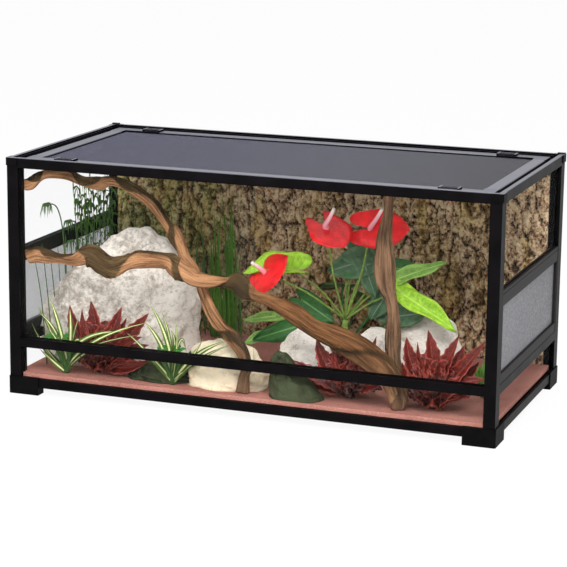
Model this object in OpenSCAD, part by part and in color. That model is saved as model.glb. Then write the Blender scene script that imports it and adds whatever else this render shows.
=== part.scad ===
// Glass terrarium with two sliding front doors, side vents and a lift-off screen lid.
// The origin is the centre of the footprint, on the surface that the feet stand on.
// +X runs to the right along the front, +Y to the rear, +Z up.

/* [Tank] */
// Width over the corner posts
tank_w = 900; // [800:5:1200]
// Depth over the corner posts
tank_d = 450; // [400:5:600]
// Height from the table to the rim
tank_h = 430; // [400:5:600]

/* [Frame] */
// Width of every rail from its outside face inwards
rail_w = 20; // [19:0.5:26]
// Height of the bottom rails
bottom_rail_h = 16; // [15:0.5:24]
// Height of the underside of the bottom rails above the table
rail_lift = 14; // [8:1:30]
// Height of the top rails
top_rail_h = 18; // [17:0.5:26]
// Height of the mid rails
mid_rail_h = 16; // [14:0.5:24]
// Height of the underside of the mid rails above the table
mid_rail_z = 87; // [70:1:110]
// Width of a post, seen from the front
post_w = 21; // [20:0.5:28]
// Depth of a post, seen from the side
post_d = 25; // [24:0.5:32]
// Wall of the hollow extrusions
wall = 2; // [1.2:0.1:2.5]
// Width of the raised lip of the rim
lip_w = 8; // [7:0.5:10]
// Width of the ledge that carries the lid
ledge_w = 10; // [6:0.5:14]
// Thickness of the ledge that carries the lid
ledge_t = 2; // [1.5:0.1:3]
// How far the rim's lip stands above the rails behind it
lip_up = 10; // [9:0.5:11]
// How far the rim's lip stands above the front rail behind it
front_lip_up = 6; // [5:0.5:6.5]
// Length of the bevel on the outer edges of the feet and top corners
corner_bevel = 3; // [1:0.25:4]

/* [Glass] */
// Thickness of the fixed panes
glass_t = 4; // [3:0.5:5]
// Distance from the frame's outside face to the fixed panes
glass_in = 5; // [4:0.5:5.5]
// How deep a fixed pane sits in its groove
glass_seat = 5.5; // [4:0.5:6]
// Thickness of the floor pane
floor_t = 4; // [3:0.5:5]
// How much of each bottom rail carries the floor pane
floor_bearing = 7; // [4:0.5:8]

/* [Doors] */
// Thickness of the sliding doors
door_t = 4; // [3:0.5:4.5]
// Overlap of the two closed doors
door_overlap = 34; // [20:1:60]
// Wall between the two door tracks
track_wall = 2; // [1.5:0.1:2.5]
// Running clearance on each face of a door
track_gap = 0.5; // [0.3:0.1:0.8]
// Depth of the lower door track
track_depth = 5.5; // [4:0.5:6]
// How far a closed door's edge enters its post
door_bite = 4; // [2:0.5:5]

/* [Feet and corners] */
// Length of a foot along the front
foot_x = 56; // [40:1:80]
// Length of a foot along the side
foot_y = 56; // [40:1:80]
// Height of a foot
foot_h = 32; // [31:0.5:40]
// How far the plastic corners stand proud of the frame
proud = 2; // [1:0.25:3]
// Height of the proud skirt of a top corner
corner_skirt = 14; // [8:0.5:17]
// Length of the tongues that plug into the extrusions
tongue = 18; // [10:1:30]
// Height of the stop on each rear top corner
stop_h = 2; // [1:0.5:3]
// Length of the stop on each rear top corner
stop_l = 14; // [8:1:18]

/* [Side vents] */
// Height of the open mesh of a side vent
vent_h = 117; // [80:1:160]
// Height of the vent's bottom bar
vent_sill = 17; // [12:1:24]
// Height of the vent's top bar, with the channel for the pane above
vent_head = 26; // [20:1:32]
// Width of the vent's upright bars
vent_side = 5; // [4:0.5:12]
// Thickness of the vent frame
vent_t = 12; // [10:0.5:16]
// How deep the mesh sits in its frame
mesh_seat = 2; // [1:0.5:3]
// Pitch of the vent mesh bars
vent_pitch = 13; // [9:1:20]
// Thickness of every mesh
mesh_t = 1.2; // [0.8:0.1:1.6]
// Width of the bars of every mesh
mesh_bar = 2.4; // [1:0.1:3]

/* [Lid] */
// Gap between the rail's inside face and the lid
lid_gap = 2; // [1:0.25:4]
// Depth of the lid's top below the rim
lid_recess = 4; // [3.4:0.1:6]
// Width of the lid's bars
lid_bar = 24; // [20:1:30]
// Length of a lid corner along the front
lid_arm_x = 95; // [80:1:140]
// Length of a lid corner along the side
lid_arm_y = 42; // [34:1:70]
// Radius of the top edges of the lid's bars
lid_round = 2.5; // [1:0.25:3]
// Pitch of the lid mesh bars
lid_pitch = 26; // [18:1:36]
// How deep the mesh sits in the lid's bars
screen_seat = 5; // [3:0.5:7]

/* [Latches] */
// Width of a latch along the rim
latch_w = 36; // [28:1:50]
// Length of a latch along its travel
latch_l = 21; // [19:0.5:23]
// Travel of a latch from open to locked
latch_travel = 17; // [12:0.5:18]
// Thickness of a latch's sliding plate
latch_t = 1.8; // [1.2:0.1:2.4]
// Height of the ribbed thumb pad above the plate
pad_h = 1.6; // [0.8:0.1:2]
// Width of the ribs that guide a latch
guide_w = 2.5; // [2:0.1:4]
// Lip of a guide rib over the latch
guide_lip = 1.2; // [0.8:0.1:2]

/* [Fits] */
// Clearance round tongues and loose panels
fit_gap = 0.2; // [0.1:0.05:0.4]
// Clearance under and beside sliding pieces
run_gap = 0.3; // [0.2:0.05:0.5]

/* [Furnishing] */
// Thickness of the sand layer above the floor pane
sand_t = 12; // [6:1:30]
// Thickness of the bark board behind its relief
board_t = 6; // [4:1:10]
// Depth of the bark board's relief
relief = 7; // [3:0.5:12]
// Width of one ridge of bark
bark_pitch = 34; // [20:1:60]
// Height of the large rock
rock_h = 246; // [140:2:280]
// Half length of the large rock
rock_l = 138; // [90:2:140]
// Half thickness of the large rock
rock_d = 46; // [30:2:60]
// Size of the small stones
stone = 40; // [25:1:44]
// Reach of the longest leaves
leaf_l = 100; // [60:2:104]
// Thickness of the leaves
leaf_t = 1.4; // [0.8:0.1:2]
// Half width of a stalk
stalk_w = 1.4; // [1:0.1:2]
// Thickness factor of the driftwood
wood = 1; // [0.7:0.05:1.15]

/* [Hidden] */
$fn = 48;

// Levels, all measured from the table
rail_top = rail_lift + bottom_rail_h;
mid_top = mid_rail_z + mid_rail_h;
rim_z = tank_h;
top_z = rim_z - top_rail_h;
body_h = top_rail_h - lip_up;          // height of a side or rear top rail inside its lip
front_body_h = top_rail_h - front_lip_up;  // the front top rail is deeper, for the door tracks
glass_groove = glass_seat + 0.5;       // groove depth in posts and rails
pane_z = rail_top - glass_groove - wall;
floor_z = rail_top - floor_bearing - 1;
sand_top = floor_z + floor_t + sand_t;
vent_top = mid_top + vent_sill + vent_h + vent_head;

// Distances inwards from the outside face
floor_in = rail_w - floor_bearing;
track_w = door_t + 2*track_gap;
outer_track = glass_in - track_gap;
inner_track = outer_track + track_w + track_wall;
track_top = front_body_h - 2.5;        // height of the upper door tracks in the front rail
spigot_w = post_w - glass_groove - 2*wall;
spigot_d = post_d - glass_groove - 2*wall;

// Doors
door_end = tank_w/2 - post_w + door_bite;
door_w = door_end + door_overlap/2;
door_z = mid_top - track_depth + run_gap;
door_top = top_z + track_top - track_depth - 0.5;

// Lid
lid_in = rail_w + lid_gap;
lid_x = tank_w/2 - lid_in;
lid_y = tank_d/2 - lid_in;
lid_top = rim_z - lid_recess;
lid_z = top_z + 2 + ledge_t + run_gap;
lid_h = lid_top - lid_z;
screen_z = lid_top - mesh_t - 3.8;
latch_z = lid_top + fit_gap;
groove_z = lid_recess - 0.2;           // latch groove in the lip, measured down from the rim

// Room for the furnishing
room_x = tank_w/2 - rail_w;
room_front = -tank_d/2 + inner_track + track_w + 1;
room_rear = tank_d/2 - post_d - board_t - relief;
room_h = top_z - 1 - sand_top;

// ---------- placing ----------

module corner(right, rear)
    mirror([right ? 1 : 0, 0, 0]) mirror([0, rear ? 1 : 0, 0])
        translate([-tank_w/2, -tank_d/2, 0]) children();

module side(right)
    mirror([right ? 1 : 0, 0, 0]) translate([-tank_w/2, 0, 0]) children();

module front(rear)
    mirror([0, rear ? 1 : 0, 0]) translate([0, -tank_d/2, 0]) children();

// A section drawn as (inwards, up) is pulled along the front or along the side
module along_x(length) rotate([90, 0, 90]) linear_extrude(length, center = true) children();
module along_y(length) rotate([90, 0, 0]) linear_extrude(length, center = true) children();

module frame_paint() color([0.09, 0.09, 0.10]) children();
module corner_plastic() color([0.07, 0.07, 0.08]) children();
module clear_glass() color([0.85, 0.95, 0.93, 0.25]) children();

// ---------- extruded frame ----------

module bottom_rail_section()
    difference() {
        polygon([[0, 0], [rail_w, 0], [rail_w, floor_z - rail_lift], [floor_in, floor_z - rail_lift],
                 [floor_in, bottom_rail_h], [0.8, bottom_rail_h], [0, bottom_rail_h - 0.8]]);
        translate([glass_in, pane_z - rail_lift]) square([glass_t, glass_groove + wall + 1]);
        translate([wall, wall]) square([rail_w - 2*wall, pane_z - rail_lift - 2*wall]);
    }

module bottom_rail_x(rear)
    frame_paint() front(rear) translate([0, 0, rail_lift])
        along_x(tank_w - 2*rail_w) bottom_rail_section();

module bottom_rail_y(right)
    frame_paint() side(right) translate([0, 0, rail_lift])
        along_y(tank_d - 2*rail_w) bottom_rail_section();

module top_rail_lip()
    difference() {
        polygon([[0, 0], [lip_w, 0], [lip_w, top_rail_h], [0.8, top_rail_h], [0, top_rail_h - 0.8]]);
        translate([lip_w - 3, top_rail_h - groove_z]) square([4, latch_t + 1]);
    }

module top_rail_section()
    difference() {
        union() {
            top_rail_lip();
            square([rail_w, body_h]);
        }
        translate([glass_in, -1]) square([glass_t, glass_groove + 1]);
        translate([glass_in + glass_t + wall, wall])
            square([rail_w - glass_in - glass_t - 2*wall, body_h - 2*wall]);
    }

module top_rail_front_section()
    difference() {
        union() {
            top_rail_lip();
            square([rail_w, front_body_h]);
        }
        for (u = [outer_track, inner_track]) translate([u, -1]) square([track_w, track_top + 1]);
    }

// The ledge is inset at its ends, so that the ledges of two rails meet without overlapping
module lid_ledge() translate([rail_w - 0.01, 2]) square([ledge_w + 0.01, ledge_t]);

module top_rail_x(rear)
    frame_paint() front(rear) translate([0, 0, top_z]) along_x(tank_w - 2*rail_w) {
        if (rear) top_rail_section(); else top_rail_front_section();
        lid_ledge();
    }

module top_rail_y(right)
    frame_paint() side(right) translate([0, 0, top_z]) {
        along_y(tank_d - 2*rail_w) top_rail_section();
        along_y(tank_d - 2*rail_w - 2*ledge_w) lid_ledge();
    }

// Two door tracks above, and a groove for the lower pane below
module door_track()
    frame_paint() front(false) translate([0, 0, mid_rail_z]) along_x(tank_w - 2*post_w)
        difference() {
            polygon([[0, 0], [rail_w, 0], [rail_w, mid_rail_h], [1, mid_rail_h], [0, mid_rail_h - 1]]);
            for (u = [outer_track, inner_track])
                translate([u, mid_rail_h - track_depth]) square([track_w, track_depth + 1]);
            translate([glass_in, -1]) square([glass_t, glass_groove + 1]);
        }

module mid_rail(right)
    frame_paint() side(right) translate([0, 0, mid_rail_z]) along_y(tank_d - 2*post_d)
        difference() {
            square([rail_w, mid_rail_h]);
            translate([glass_in, -1]) square([glass_t, glass_groove + 1]);
            translate([glass_in + glass_t + wall, wall])
                square([rail_w - glass_in - glass_t - 2*wall, mid_rail_h - 2*wall]);
        }

// Front posts have two door channels, rear posts one groove for the rear pane
module post_section(rear)
    difference() {
        square([post_w, post_d]);
        translate([wall, wall]) square([spigot_w, spigot_d]);
        translate([glass_in, post_d - glass_groove]) square([glass_t, glass_groove + 1]);
        if (rear)
            translate([post_w - glass_groove, glass_in]) square([glass_groove + 1, glass_t]);
        else
            for (u = [outer_track, inner_track])
                translate([post_w - glass_groove, u]) square([glass_groove + 1, track_w]);
    }

module post(right, rear)
    frame_paint() corner(right, rear) translate([0, 0, foot_h])
        linear_extrude(top_z - foot_h) post_section(rear);

// ---------- feet and top corners ----------

module foot(right, rear)
    corner_plastic() corner(right, rear) difference() {
        union() {
            // two legs with a skirt over the rails
            translate([-proud, -proud, 0]) cube([foot_x + proud, rail_w + proud, foot_h]);
            translate([-proud, -proud, 0]) cube([rail_w + proud, foot_y + proud, foot_h]);
            translate([wall + fit_gap, wall + fit_gap, foot_h])
                cube([spigot_w - 2*fit_gap, spigot_d - 2*fit_gap, tongue]);
        }
        // pockets that the two bottom rails fill
        translate([rail_w, 0, rail_lift]) cube([foot_x, rail_w + 1, bottom_rail_h]);
        translate([0, rail_w, rail_lift]) cube([rail_w + 1, foot_y, bottom_rail_h]);
        // open above the ledge that carries the floor pane
        translate([floor_in, floor_in, floor_z]) cube([foot_x, foot_y, foot_h]);
        // the post's walls leave the foot's top free of the glass grooves
        translate([glass_in, rail_w - glass_groove, pane_z])
            cube([glass_t, foot_y, foot_h]);
        translate([rail_w - glass_groove, glass_in, pane_z])
            cube([foot_x, glass_t, foot_h]);
        // the skirts reach over the rails only as far as the panes
        translate([rail_w, glass_in, rail_top]) cube([foot_x, rail_w, foot_h]);
        translate([glass_in, rail_w, rail_top]) cube([rail_w, foot_y, foot_h]);
        // the corner edge is bevelled
        translate([-proud, -proud, -1]) rotate(45)
            cube([corner_bevel, corner_bevel, 2*foot_h + 4], center = true);
    }

module top_corner(right, rear)
    corner_plastic() corner(right, rear) translate([0, 0, top_z]) {
        difference() {
            union() {
                cube([rail_w, rail_w, top_rail_h]);
                translate([-proud, -proud, top_rail_h - corner_skirt])
                    cube([rail_w + proud, rail_w + proud, corner_skirt]);
            }
            translate([lip_w, lip_w, body_h]) cube([rail_w, rail_w, top_rail_h]);
            // slots for the top edges of the panes or doors that run into the posts
            translate([glass_in, post_d - glass_groove - 1, -1])
                cube([glass_t, rail_w, glass_groove + 1]);
            if (rear)
                translate([post_w - glass_groove, glass_in, -1])
                    cube([rail_w, glass_t, glass_groove + 1]);
            else
                for (u = [outer_track, inner_track]) translate([post_w - glass_groove, u, -1])
                    cube([rail_w, track_w, track_top + 1]);
            translate([-proud, -proud, 0]) rotate(45)
                cube([corner_bevel, corner_bevel, 4*top_rail_h], center = true);
        }
        // tongues into the post and into the hollow rails
        translate([wall + fit_gap, wall + fit_gap, -tongue])
            cube([spigot_w - 2*fit_gap, spigot_d - 2*fit_gap, tongue + 0.01]);
        rail_tongue();
        if (rear) mirror([1, -1, 0]) rail_tongue();
        if (rear) translate([-proud + 1, -proud + 1, top_rail_h - 0.01])
            cube([stop_l, lip_w - 1, stop_h + 0.01]);
    }

module rail_tongue()
    translate([glass_in + glass_t + wall + fit_gap, rail_w - 0.01, wall + fit_gap])
        cube([rail_w - glass_in - glass_t - 2*wall - 2*fit_gap, tongue,
              body_h - 2*wall - 2*fit_gap]);

// ---------- glass ----------

module floor_pane()
    clear_glass() translate([-tank_w/2 + floor_in + fit_gap, -tank_d/2 + floor_in + fit_gap, floor_z])
        cube([tank_w - 2*(floor_in + fit_gap), tank_d - 2*(floor_in + fit_gap), floor_t]);

module pane_x(rear, z0, z1)
    clear_glass() front(rear) translate([-tank_w/2 + post_w - glass_seat, glass_in, z0])
        cube([tank_w - 2*(post_w - glass_seat), glass_t, z1 - z0]);

module pane_y(right, z0, z1)
    clear_glass() side(right) translate([glass_in, -tank_d/2 + post_d - glass_seat, z0])
        cube([glass_t, tank_d - 2*(post_d - glass_seat), z1 - z0]);

module rear_pane() pane_x(true, pane_z, top_z + glass_seat);
module front_lower_pane() pane_x(false, pane_z, mid_rail_z + glass_seat);
module side_lower_pane(right) pane_y(right, pane_z, mid_rail_z + glass_seat);
module side_pane(right) pane_y(right, vent_top - glass_groove, top_z + glass_seat);

module door(right)
    clear_glass() mirror([right ? 1 : 0, 0, 0])
        translate([-door_end, -tank_d/2 + track_gap + (right ? inner_track : outer_track), door_z])
            cube([door_w, door_t, door_top - door_z]);

// ---------- side vents ----------

module vent_slab(right)
    side(right) translate([vent_t/2 + 0.6 - mesh_t/2, -tank_d/2 + post_d + vent_side - mesh_seat,
                           mid_top + vent_sill - mesh_seat])
        cube([mesh_t, tank_d - 2*(post_d + vent_side - mesh_seat), vent_h + 2*mesh_seat]);

module vent_frame(right)
    color([0.25, 0.24, 0.25]) difference() {
        side(right) translate([0.6, 0, mid_top]) difference() {
            translate([0, -tank_d/2 + post_d, 0])
                cube([vent_t, tank_d - 2*post_d, vent_sill + vent_h + vent_head]);
            translate([-1, -tank_d/2 + post_d + vent_side, vent_sill])
                cube([vent_t + 2, tank_d - 2*(post_d + vent_side), vent_h]);
            translate([glass_in - 0.6, -tank_d/2, vent_sill + vent_h + vent_head - glass_groove])
                cube([glass_t, tank_d, glass_groove + 1]);
            // shadow line under the pane's seal
            translate([-1, -tank_d/2, vent_sill + vent_h + vent_head - 6.5])
                cube([2, tank_d, 1]);
        }
        vent_slab(right);
    }

// A flat sheet with a square grid of openings inside a plain border
module grid(size, border, pitch)
    difference() {
        square(size, center = true);
        let (nx = floor((size[0] - 2*border - mesh_bar)/pitch),
             ny = floor((size[1] - 2*border - mesh_bar)/pitch),
             cx = (size[0] - 2*border - mesh_bar)/nx, cy = (size[1] - 2*border - mesh_bar)/ny)
            for (i = [0:nx - 1], j = [0:ny - 1])
                translate([(i - nx/2)*cx + mesh_bar/2, (j - ny/2)*cy + mesh_bar/2])
                    square([cx - mesh_bar, cy - mesh_bar]);
    }

module vent_mesh(right)
    color([0.62, 0.63, 0.65]) side(right)
        translate([vent_t/2 + 0.6 - mesh_t/2, 0, mid_top + vent_sill + vent_h/2])
            rotate([90, 0, 90]) linear_extrude(mesh_t)
                grid([tank_d - 2*(post_d + vent_side - mesh_seat), vent_h + 2*mesh_seat],
                     mesh_seat, vent_pitch);

// ---------- lid ----------

module screen_slab()
    translate([0, 0, screen_z + mesh_t/2])
        cube([2*(lid_x - lid_bar + screen_seat), 2*(lid_y - lid_bar + screen_seat), mesh_t],
             center = true);

// Section of a lid bar, from its outer edge inwards
module lid_section()
    difference() {
        union() {
            square([lid_bar, lid_h - lid_round]);
            translate([lid_round, 0]) square([lid_bar - 2*lid_round, lid_h]);
            for (u = [lid_round, lid_bar - lid_round])
                translate([u, lid_h - lid_round]) circle(lid_round);
        }
        translate([wall, wall]) square([lid_bar - screen_seat - 2*wall, lid_h - 2*wall]);
    }

module lid_bar_x(rear)
    frame_paint() difference() {
        front(rear) translate([0, lid_in, lid_z]) along_x(2*(lid_x - lid_arm_x)) lid_section();
        screen_slab();
    }

module lid_bar_y(right)
    frame_paint() difference() {
        side(right) translate([lid_in, 0, lid_z]) along_y(2*(lid_y - lid_arm_y)) lid_section();
        screen_slab();
    }

module lid_tongue(length)
    translate([0, wall + fit_gap, wall + fit_gap])
        cube([length, lid_bar - screen_seat - 2*wall - 2*fit_gap, lid_h - 2*wall - 2*fit_gap]);

module latch_guide()
    for (far = [0, 1]) mirror([far, 0, 0]) translate([-latch_w/2, 0, 0]) {
        cube([guide_w, latch_l + 1, latch_t + guide_lip + fit_gap + run_gap]);
        translate([0, 0, latch_t + fit_gap + run_gap])
            cube([guide_w + guide_lip, latch_l + 1, guide_lip]);
    }

// An L of moulded plastic that joins two bars and carries one latch
module lid_corner(right, rear)
    corner_plastic() {
        difference() {
            corner(right, rear) translate([lid_in, lid_in, lid_z]) {
                cube([lid_arm_x, lid_bar, lid_h]);
                cube([lid_bar, lid_arm_y, lid_h]);
            }
            screen_slab();
        }
        corner(right, rear) translate([lid_in, lid_in, lid_z]) {
            translate([lid_arm_x - 0.01, 0, 0]) lid_tongue(tongue);
            translate([0, lid_arm_y - 0.01, 0]) mirror([1, -1, 0]) lid_tongue(tongue);
            translate([lid_arm_x - latch_w/2, 1, lid_h - 0.01]) latch_guide();
        }
    }

module lid_mesh()
    color([0.30, 0.32, 0.38]) translate([0, 0, screen_z]) linear_extrude(mesh_t)
        grid([2*(lid_x - lid_bar + screen_seat), 2*(lid_y - lid_bar + screen_seat)],
             screen_seat, lid_pitch);

// A sliding plate with a ribbed thumb pad, drawn in its open position
module latch(right, rear)
    corner_plastic() corner(right, rear)
        translate([lid_in + lid_arm_x - latch_w/2, lid_in + 1.5, latch_z]) {
            plate_w = latch_w - 2*guide_w - 2*run_gap;
            pad_w = plate_w - 2*guide_lip - 2*run_gap;
            translate([-plate_w/2, 0, 0]) cube([plate_w, latch_l, latch_t]);
            translate([-pad_w/2, 2, latch_t - 0.01]) cube([pad_w, latch_l - 4, pad_h/2]);
            for (i = [0:4]) translate([-pad_w/2, 3 + i*(latch_l - 7.2)/4, latch_t])
                cube([pad_w, 1.2, pad_h]);
        }

// ---------- furnishing ----------

// A place in the room: shares of its width, depth and height, then millimetres above the sand
function spot(s) = [s[0]*room_x, room_front + s[1]*(room_rear - room_front), sand_top + s[2]*room_h];

function catmull(a, b, c, d, t) =
    0.5*(2*b + (c - a)*t + (2*a - 5*b + 4*c - d)*t*t + (3*b - a - 3*c + d)*t*t*t);

function spline(p, n) = [
    for (i = [0:len(p) - 2], j = [0:n - 1])
        catmull(p[max(i - 1, 0)], p[i], p[i + 1], p[min(i + 2, len(p) - 1)], j/n),
    p[len(p) - 1]
];

function unit(v) = v/norm(v);

// One ring of a limb: an ellipse across the path, turned by its twist and roughened a little
function limb_ring(path, i, sides) =
    let (n = len(path) - 1, k = path[i], at = [k[0], k[1], k[2]],
         a = path[max(i - 1, 0)], b = path[min(i + 1, n)],
         t = unit([b[0] - a[0], b[1] - a[1], b[2] - a[2]]),
         across = unit(cross([0, 1, 0], t)), deep = cross(t, across))
    [for (s = [0:sides - 1])
        let (w = 360*s/sides, rough = 1 + 0.07*sin(3*w + 50*i) + 0.05*sin(5*w - 31*i),
             x = k[3]*cos(w)*rough, y = k[4]*sin(w)*rough,
             p = at + across*(x*cos(k[5]) - y*sin(k[5])) + deep*(x*sin(k[5]) + y*cos(k[5])))
        [p[0], p[1], i == n ? at[2] : max(p[2], sand_top + 0.4*(n - i))]];

// Knots are [share x, share y, share z, half width, half depth, twist]; the last one is the foot
module limb(knots, steps, sides) {
    path = spline([for (k = knots) let (p = spot(k))
                   [p[0], p[1], p[2], k[3]*wood, k[4]*wood, k[5]]], steps);
    n = len(path);
    rings = [for (i = [0:n - 1]) each limb_ring(path, i, sides)];
    ends = [[path[0][0], path[0][1], path[0][2]],
            [path[n - 1][0], path[n - 1][1], path[n - 1][2]]];
    polyhedron(concat(rings, ends), concat(
        [for (i = [0:n - 2], s = [0:sides - 1])
            each [[i*sides + s, (i + 1)*sides + s, i*sides + (s + 1) % sides],
                  [i*sides + (s + 1) % sides, (i + 1)*sides + s, (i + 1)*sides + (s + 1) % sides]]],
        [for (s = [0:sides - 1]) [n*sides, s, (s + 1) % sides]],
        [for (s = [0:sides - 1])
            [n*sides + 1, (n - 1)*sides + (s + 1) % sides, (n - 1)*sides + s]]));
}

module climbing_branch()
    color([0.62, 0.42, 0.28]) limb([
        [-1.008, 0.042, 0.907, 10, 9, 0], [-0.984, 0.050, 0.913, 11, 9, 10],
        [-0.955, 0.065, 0.943, 9, 9, 20], [-0.925, 0.082, 0.958, 8, 9, 0],
        [-0.875, 0.105, 0.958, 8, 9, 0], [-0.840, 0.131, 0.950, 9, 9, 10],
        [-0.790, 0.160, 0.922, 9, 9, 0], [-0.733, 0.191, 0.910, 12, 9, -10],
        [-0.690, 0.212, 0.922, 9, 9, 0], [-0.635, 0.242, 0.903, 9, 10, 10],
        [-0.580, 0.265, 0.862, 11, 10, 0], [-0.521, 0.285, 0.805, 11, 10, 15],
        [-0.467, 0.298, 0.712, 8, 10, 0], [-0.429, 0.293, 0.665, 13, 10, -10],
        [-0.370, 0.252, 0.573, 10, 10, 0], [-0.327, 0.217, 0.541, 10, 10, 10],
        [-0.283, 0.185, 0.487, 11, 10, 0], [-0.244, 0.172, 0.400, 11, 10, 0],
        [-0.195, 0.125, 0.338, 12, 10, 15], [-0.147, 0.095, 0.290, 12, 10, 0],
        [-0.091, 0.075, 0.248, 13, 10, -15], [-0.041, 0.057, 0.191, 11, 10, 0],
        [-0.019, 0.046, 0.134, 9, 10, 10], [-0.024, 0.044, 0.081, 9, 10, 0],
        [-0.030, 0.044, 0, 12, 11, 0]], 2, 12);

module twisted_root()
    color([0.58, 0.40, 0.27]) limb([
        [-0.998, 0.037, 0.556, 12, 7, 0], [-0.976, 0.043, 0.567, 15, 8, 15],
        [-0.949, 0.049, 0.578, 18, 8, 0], [-0.908, 0.060, 0.570, 16, 8, -15],
        [-0.866, 0.070, 0.560, 11, 9, 0], [-0.800, 0.078, 0.555, 12, 9, 15],
        [-0.735, 0.085, 0.587, 20, 8, 30], [-0.680, 0.089, 0.545, 19, 9, 0],
        [-0.625, 0.093, 0.535, 16, 9, -20], [-0.570, 0.097, 0.558, 13, 9, 0],
        [-0.514, 0.100, 0.583, 17, 8, 10], [-0.450, 0.102, 0.590, 17, 8, 0],
        [-0.382, 0.105, 0.583, 17, 8, -15], [-0.330, 0.109, 0.540, 19, 9, 0],
        [-0.252, 0.113, 0.500, 15, 9, 20], [-0.180, 0.115, 0.500, 11, 9, 0],
        [-0.125, 0.115, 0.503, 9, 9, 0], [-0.085, 0.115, 0.504, 21, 9, 10],
        [-0.048, 0.115, 0.474, 17, 9, 0], [-0.005, 0.115, 0.450, 11, 9, 0],
        [0.050, 0.113, 0.438, 11, 9, 10], [0.120, 0.110, 0.407, 16, 9, 0],
        [0.190, 0.107, 0.370, 18, 9, -10], [0.253, 0.100, 0.329, 16, 9, 0],
        [0.342, 0.090, 0.298, 21, 10, 15], [0.431, 0.075, 0.265, 23, 10, 0],
        [0.510, 0.062, 0.222, 23, 10, -10], [0.580, 0.050, 0.165, 21, 11, 0],
        [0.620, 0.043, 0.092, 19, 12, 10], [0.627, 0.043, 0.035, 15, 12, 0],
        [0.627, 0.045, 0, 10, 10, 0]], 2, 12);

module upright_trunk()
    color([0.60, 0.45, 0.33]) limb([
        [0.506, 0.270, 0.985, 9, 9, 0], [0.507, 0.267, 0.876, 8, 9, 10],
        [0.500, 0.257, 0.784, 12, 10, 0], [0.498, 0.252, 0.738, 14, 10, 0],
        [0.500, 0.247, 0.692, 16, 11, -10], [0.504, 0.240, 0.620, 19, 11, 0],
        [0.511, 0.232, 0.554, 18, 11, 10], [0.522, 0.227, 0.509, 15, 11, 0],
        [0.537, 0.222, 0.474, 11, 10, -15], [0.548, 0.217, 0.429, 10, 10, 0],
        [0.553, 0.210, 0.350, 13, 11, 10], [0.556, 0.201, 0.270, 15, 11, 0],
        [0.564, 0.195, 0.190, 12, 11, -10], [0.580, 0.205, 0.100, 12, 11, 0],
        [0.590, 0.212, 0, 14, 12, 0]], 3, 12);

// A boulder with a flat base: rings that shrink towards a leaning top
function rock_radius(f) = pow(1 - pow(f, 2.6), 0.62);

module rock(s, size, lean, turn, seed) {
    rings = 7;
    sides = 16;
    points = [for (i = [0:rings - 1], k = [0:sides - 1])
        let (f = i/rings, w = 360*k/sides,
             rough = 1 + 0.06*sin(2*w + seed) + 0.04*sin(5*w + 3*seed + 90*i) + 0.03*sin(7*w - seed),
             r = rock_radius(f)*rough)
        [lean[0]*f + size[0]*r*cos(w), lean[1]*f + size[1]*r*sin(w), size[2]*f]];
    translate(spot(s)) rotate(turn)
        polyhedron(concat(points, [[lean[0], lean[1], size[2]], [0, 0, 0]]), concat(
            [for (i = [0:rings - 2], k = [0:sides - 1])
                each [[i*sides + k, (i + 1)*sides + k, i*sides + (k + 1) % sides],
                      [i*sides + (k + 1) % sides, (i + 1)*sides + k,
                       (i + 1)*sides + (k + 1) % sides]]],
            [for (k = [0:sides - 1])
                [rings*sides, (rings - 1)*sides + (k + 1) % sides, (rings - 1)*sides + k]],
            [for (k = [0:sides - 1]) [rings*sides + 1, k, (k + 1) % sides]]));
}

module large_rock()
    color([0.70, 0.68, 0.66])
        rock([-0.69, 0.36, 0], [rock_l, rock_d, rock_h], [0.12*rock_h, 0.06*rock_h], 23, 20);

module small_rocks() {
    color([0.80, 0.74, 0.62]) rock([-0.148, 0.175, 0], stone*[1.95, 0.88, 1.9], stone*[-0.1, 0.1], 0, 70);
    color([0.22, 0.28, 0.20]) rock([0.190, 0.076, 0], stone*[1.16, 0.60, 2.0], stone*[-0.3, 0], 0, 140);
    color([0.24, 0.30, 0.20]) rock([-0.420, 0.140, 0], stone*[1.6, 0.55, 0.78], stone*[0, 0], 0, 30);
    color([0.76, 0.74, 0.72]) rock([0.186, 0.290, 0], stone*[1.4, 0.62, 2.3], stone*[-0.4, 0], 0, 200);
    color([0.76, 0.74, 0.72]) rock([0.420, 0.500, 0], stone*[1.15, 0.70, 2.4], stone*[0, 0], 0, 250);
    color([0.76, 0.74, 0.72]) rock([0.560, 0.620, 0], stone*[1.85, 0.85, 2.95], stone*[0.4, 0], 0, 310);
}

module sand_bed()
    color([0.80, 0.52, 0.45]) difference() {
        union() {
            translate([-tank_w/2 + floor_in + fit_gap, -tank_d/2 + floor_in + fit_gap,
                       floor_z + floor_t])
                cube([tank_w - 2*(floor_in + fit_gap), tank_d - 2*(floor_in + fit_gap), sand_t]);
            translate([-tank_w/2 + glass_in + glass_t + fit_gap,
                       -tank_d/2 + glass_in + glass_t + fit_gap, rail_top])
                cube([tank_w - 2*(glass_in + glass_t + fit_gap),
                      tank_d - 2*(glass_in + glass_t + fit_gap), sand_top - rail_top]);
        }
        // clear of the posts and of the feet below them
        for (r = [false, true], b = [false, true]) corner(r, b)
            translate([-1, -1, 0]) cube([post_w + 1 + fit_gap, post_d + 1 + fit_gap, tank_h]);
    }

// Bark relief: upright ridges of uneven depth, pulled straight up
function ridge(x) = relief*(0.5 + 0.28*sin(360*x/bark_pitch) + 0.22*sin(360*x/(bark_pitch*0.37) + 40));

module background_board()
    color([0.36, 0.30, 0.20]) translate([0, tank_d/2 - post_d - fit_gap, sand_top])
        linear_extrude(room_h) polygon(concat(
            [[room_x - run_gap, 0], [-room_x + run_gap, 0]],
            [for (i = [0:200]) let (x = (room_x - run_gap)*(i/100 - 1)) [x, -board_t - ridge(x)]]));

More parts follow.
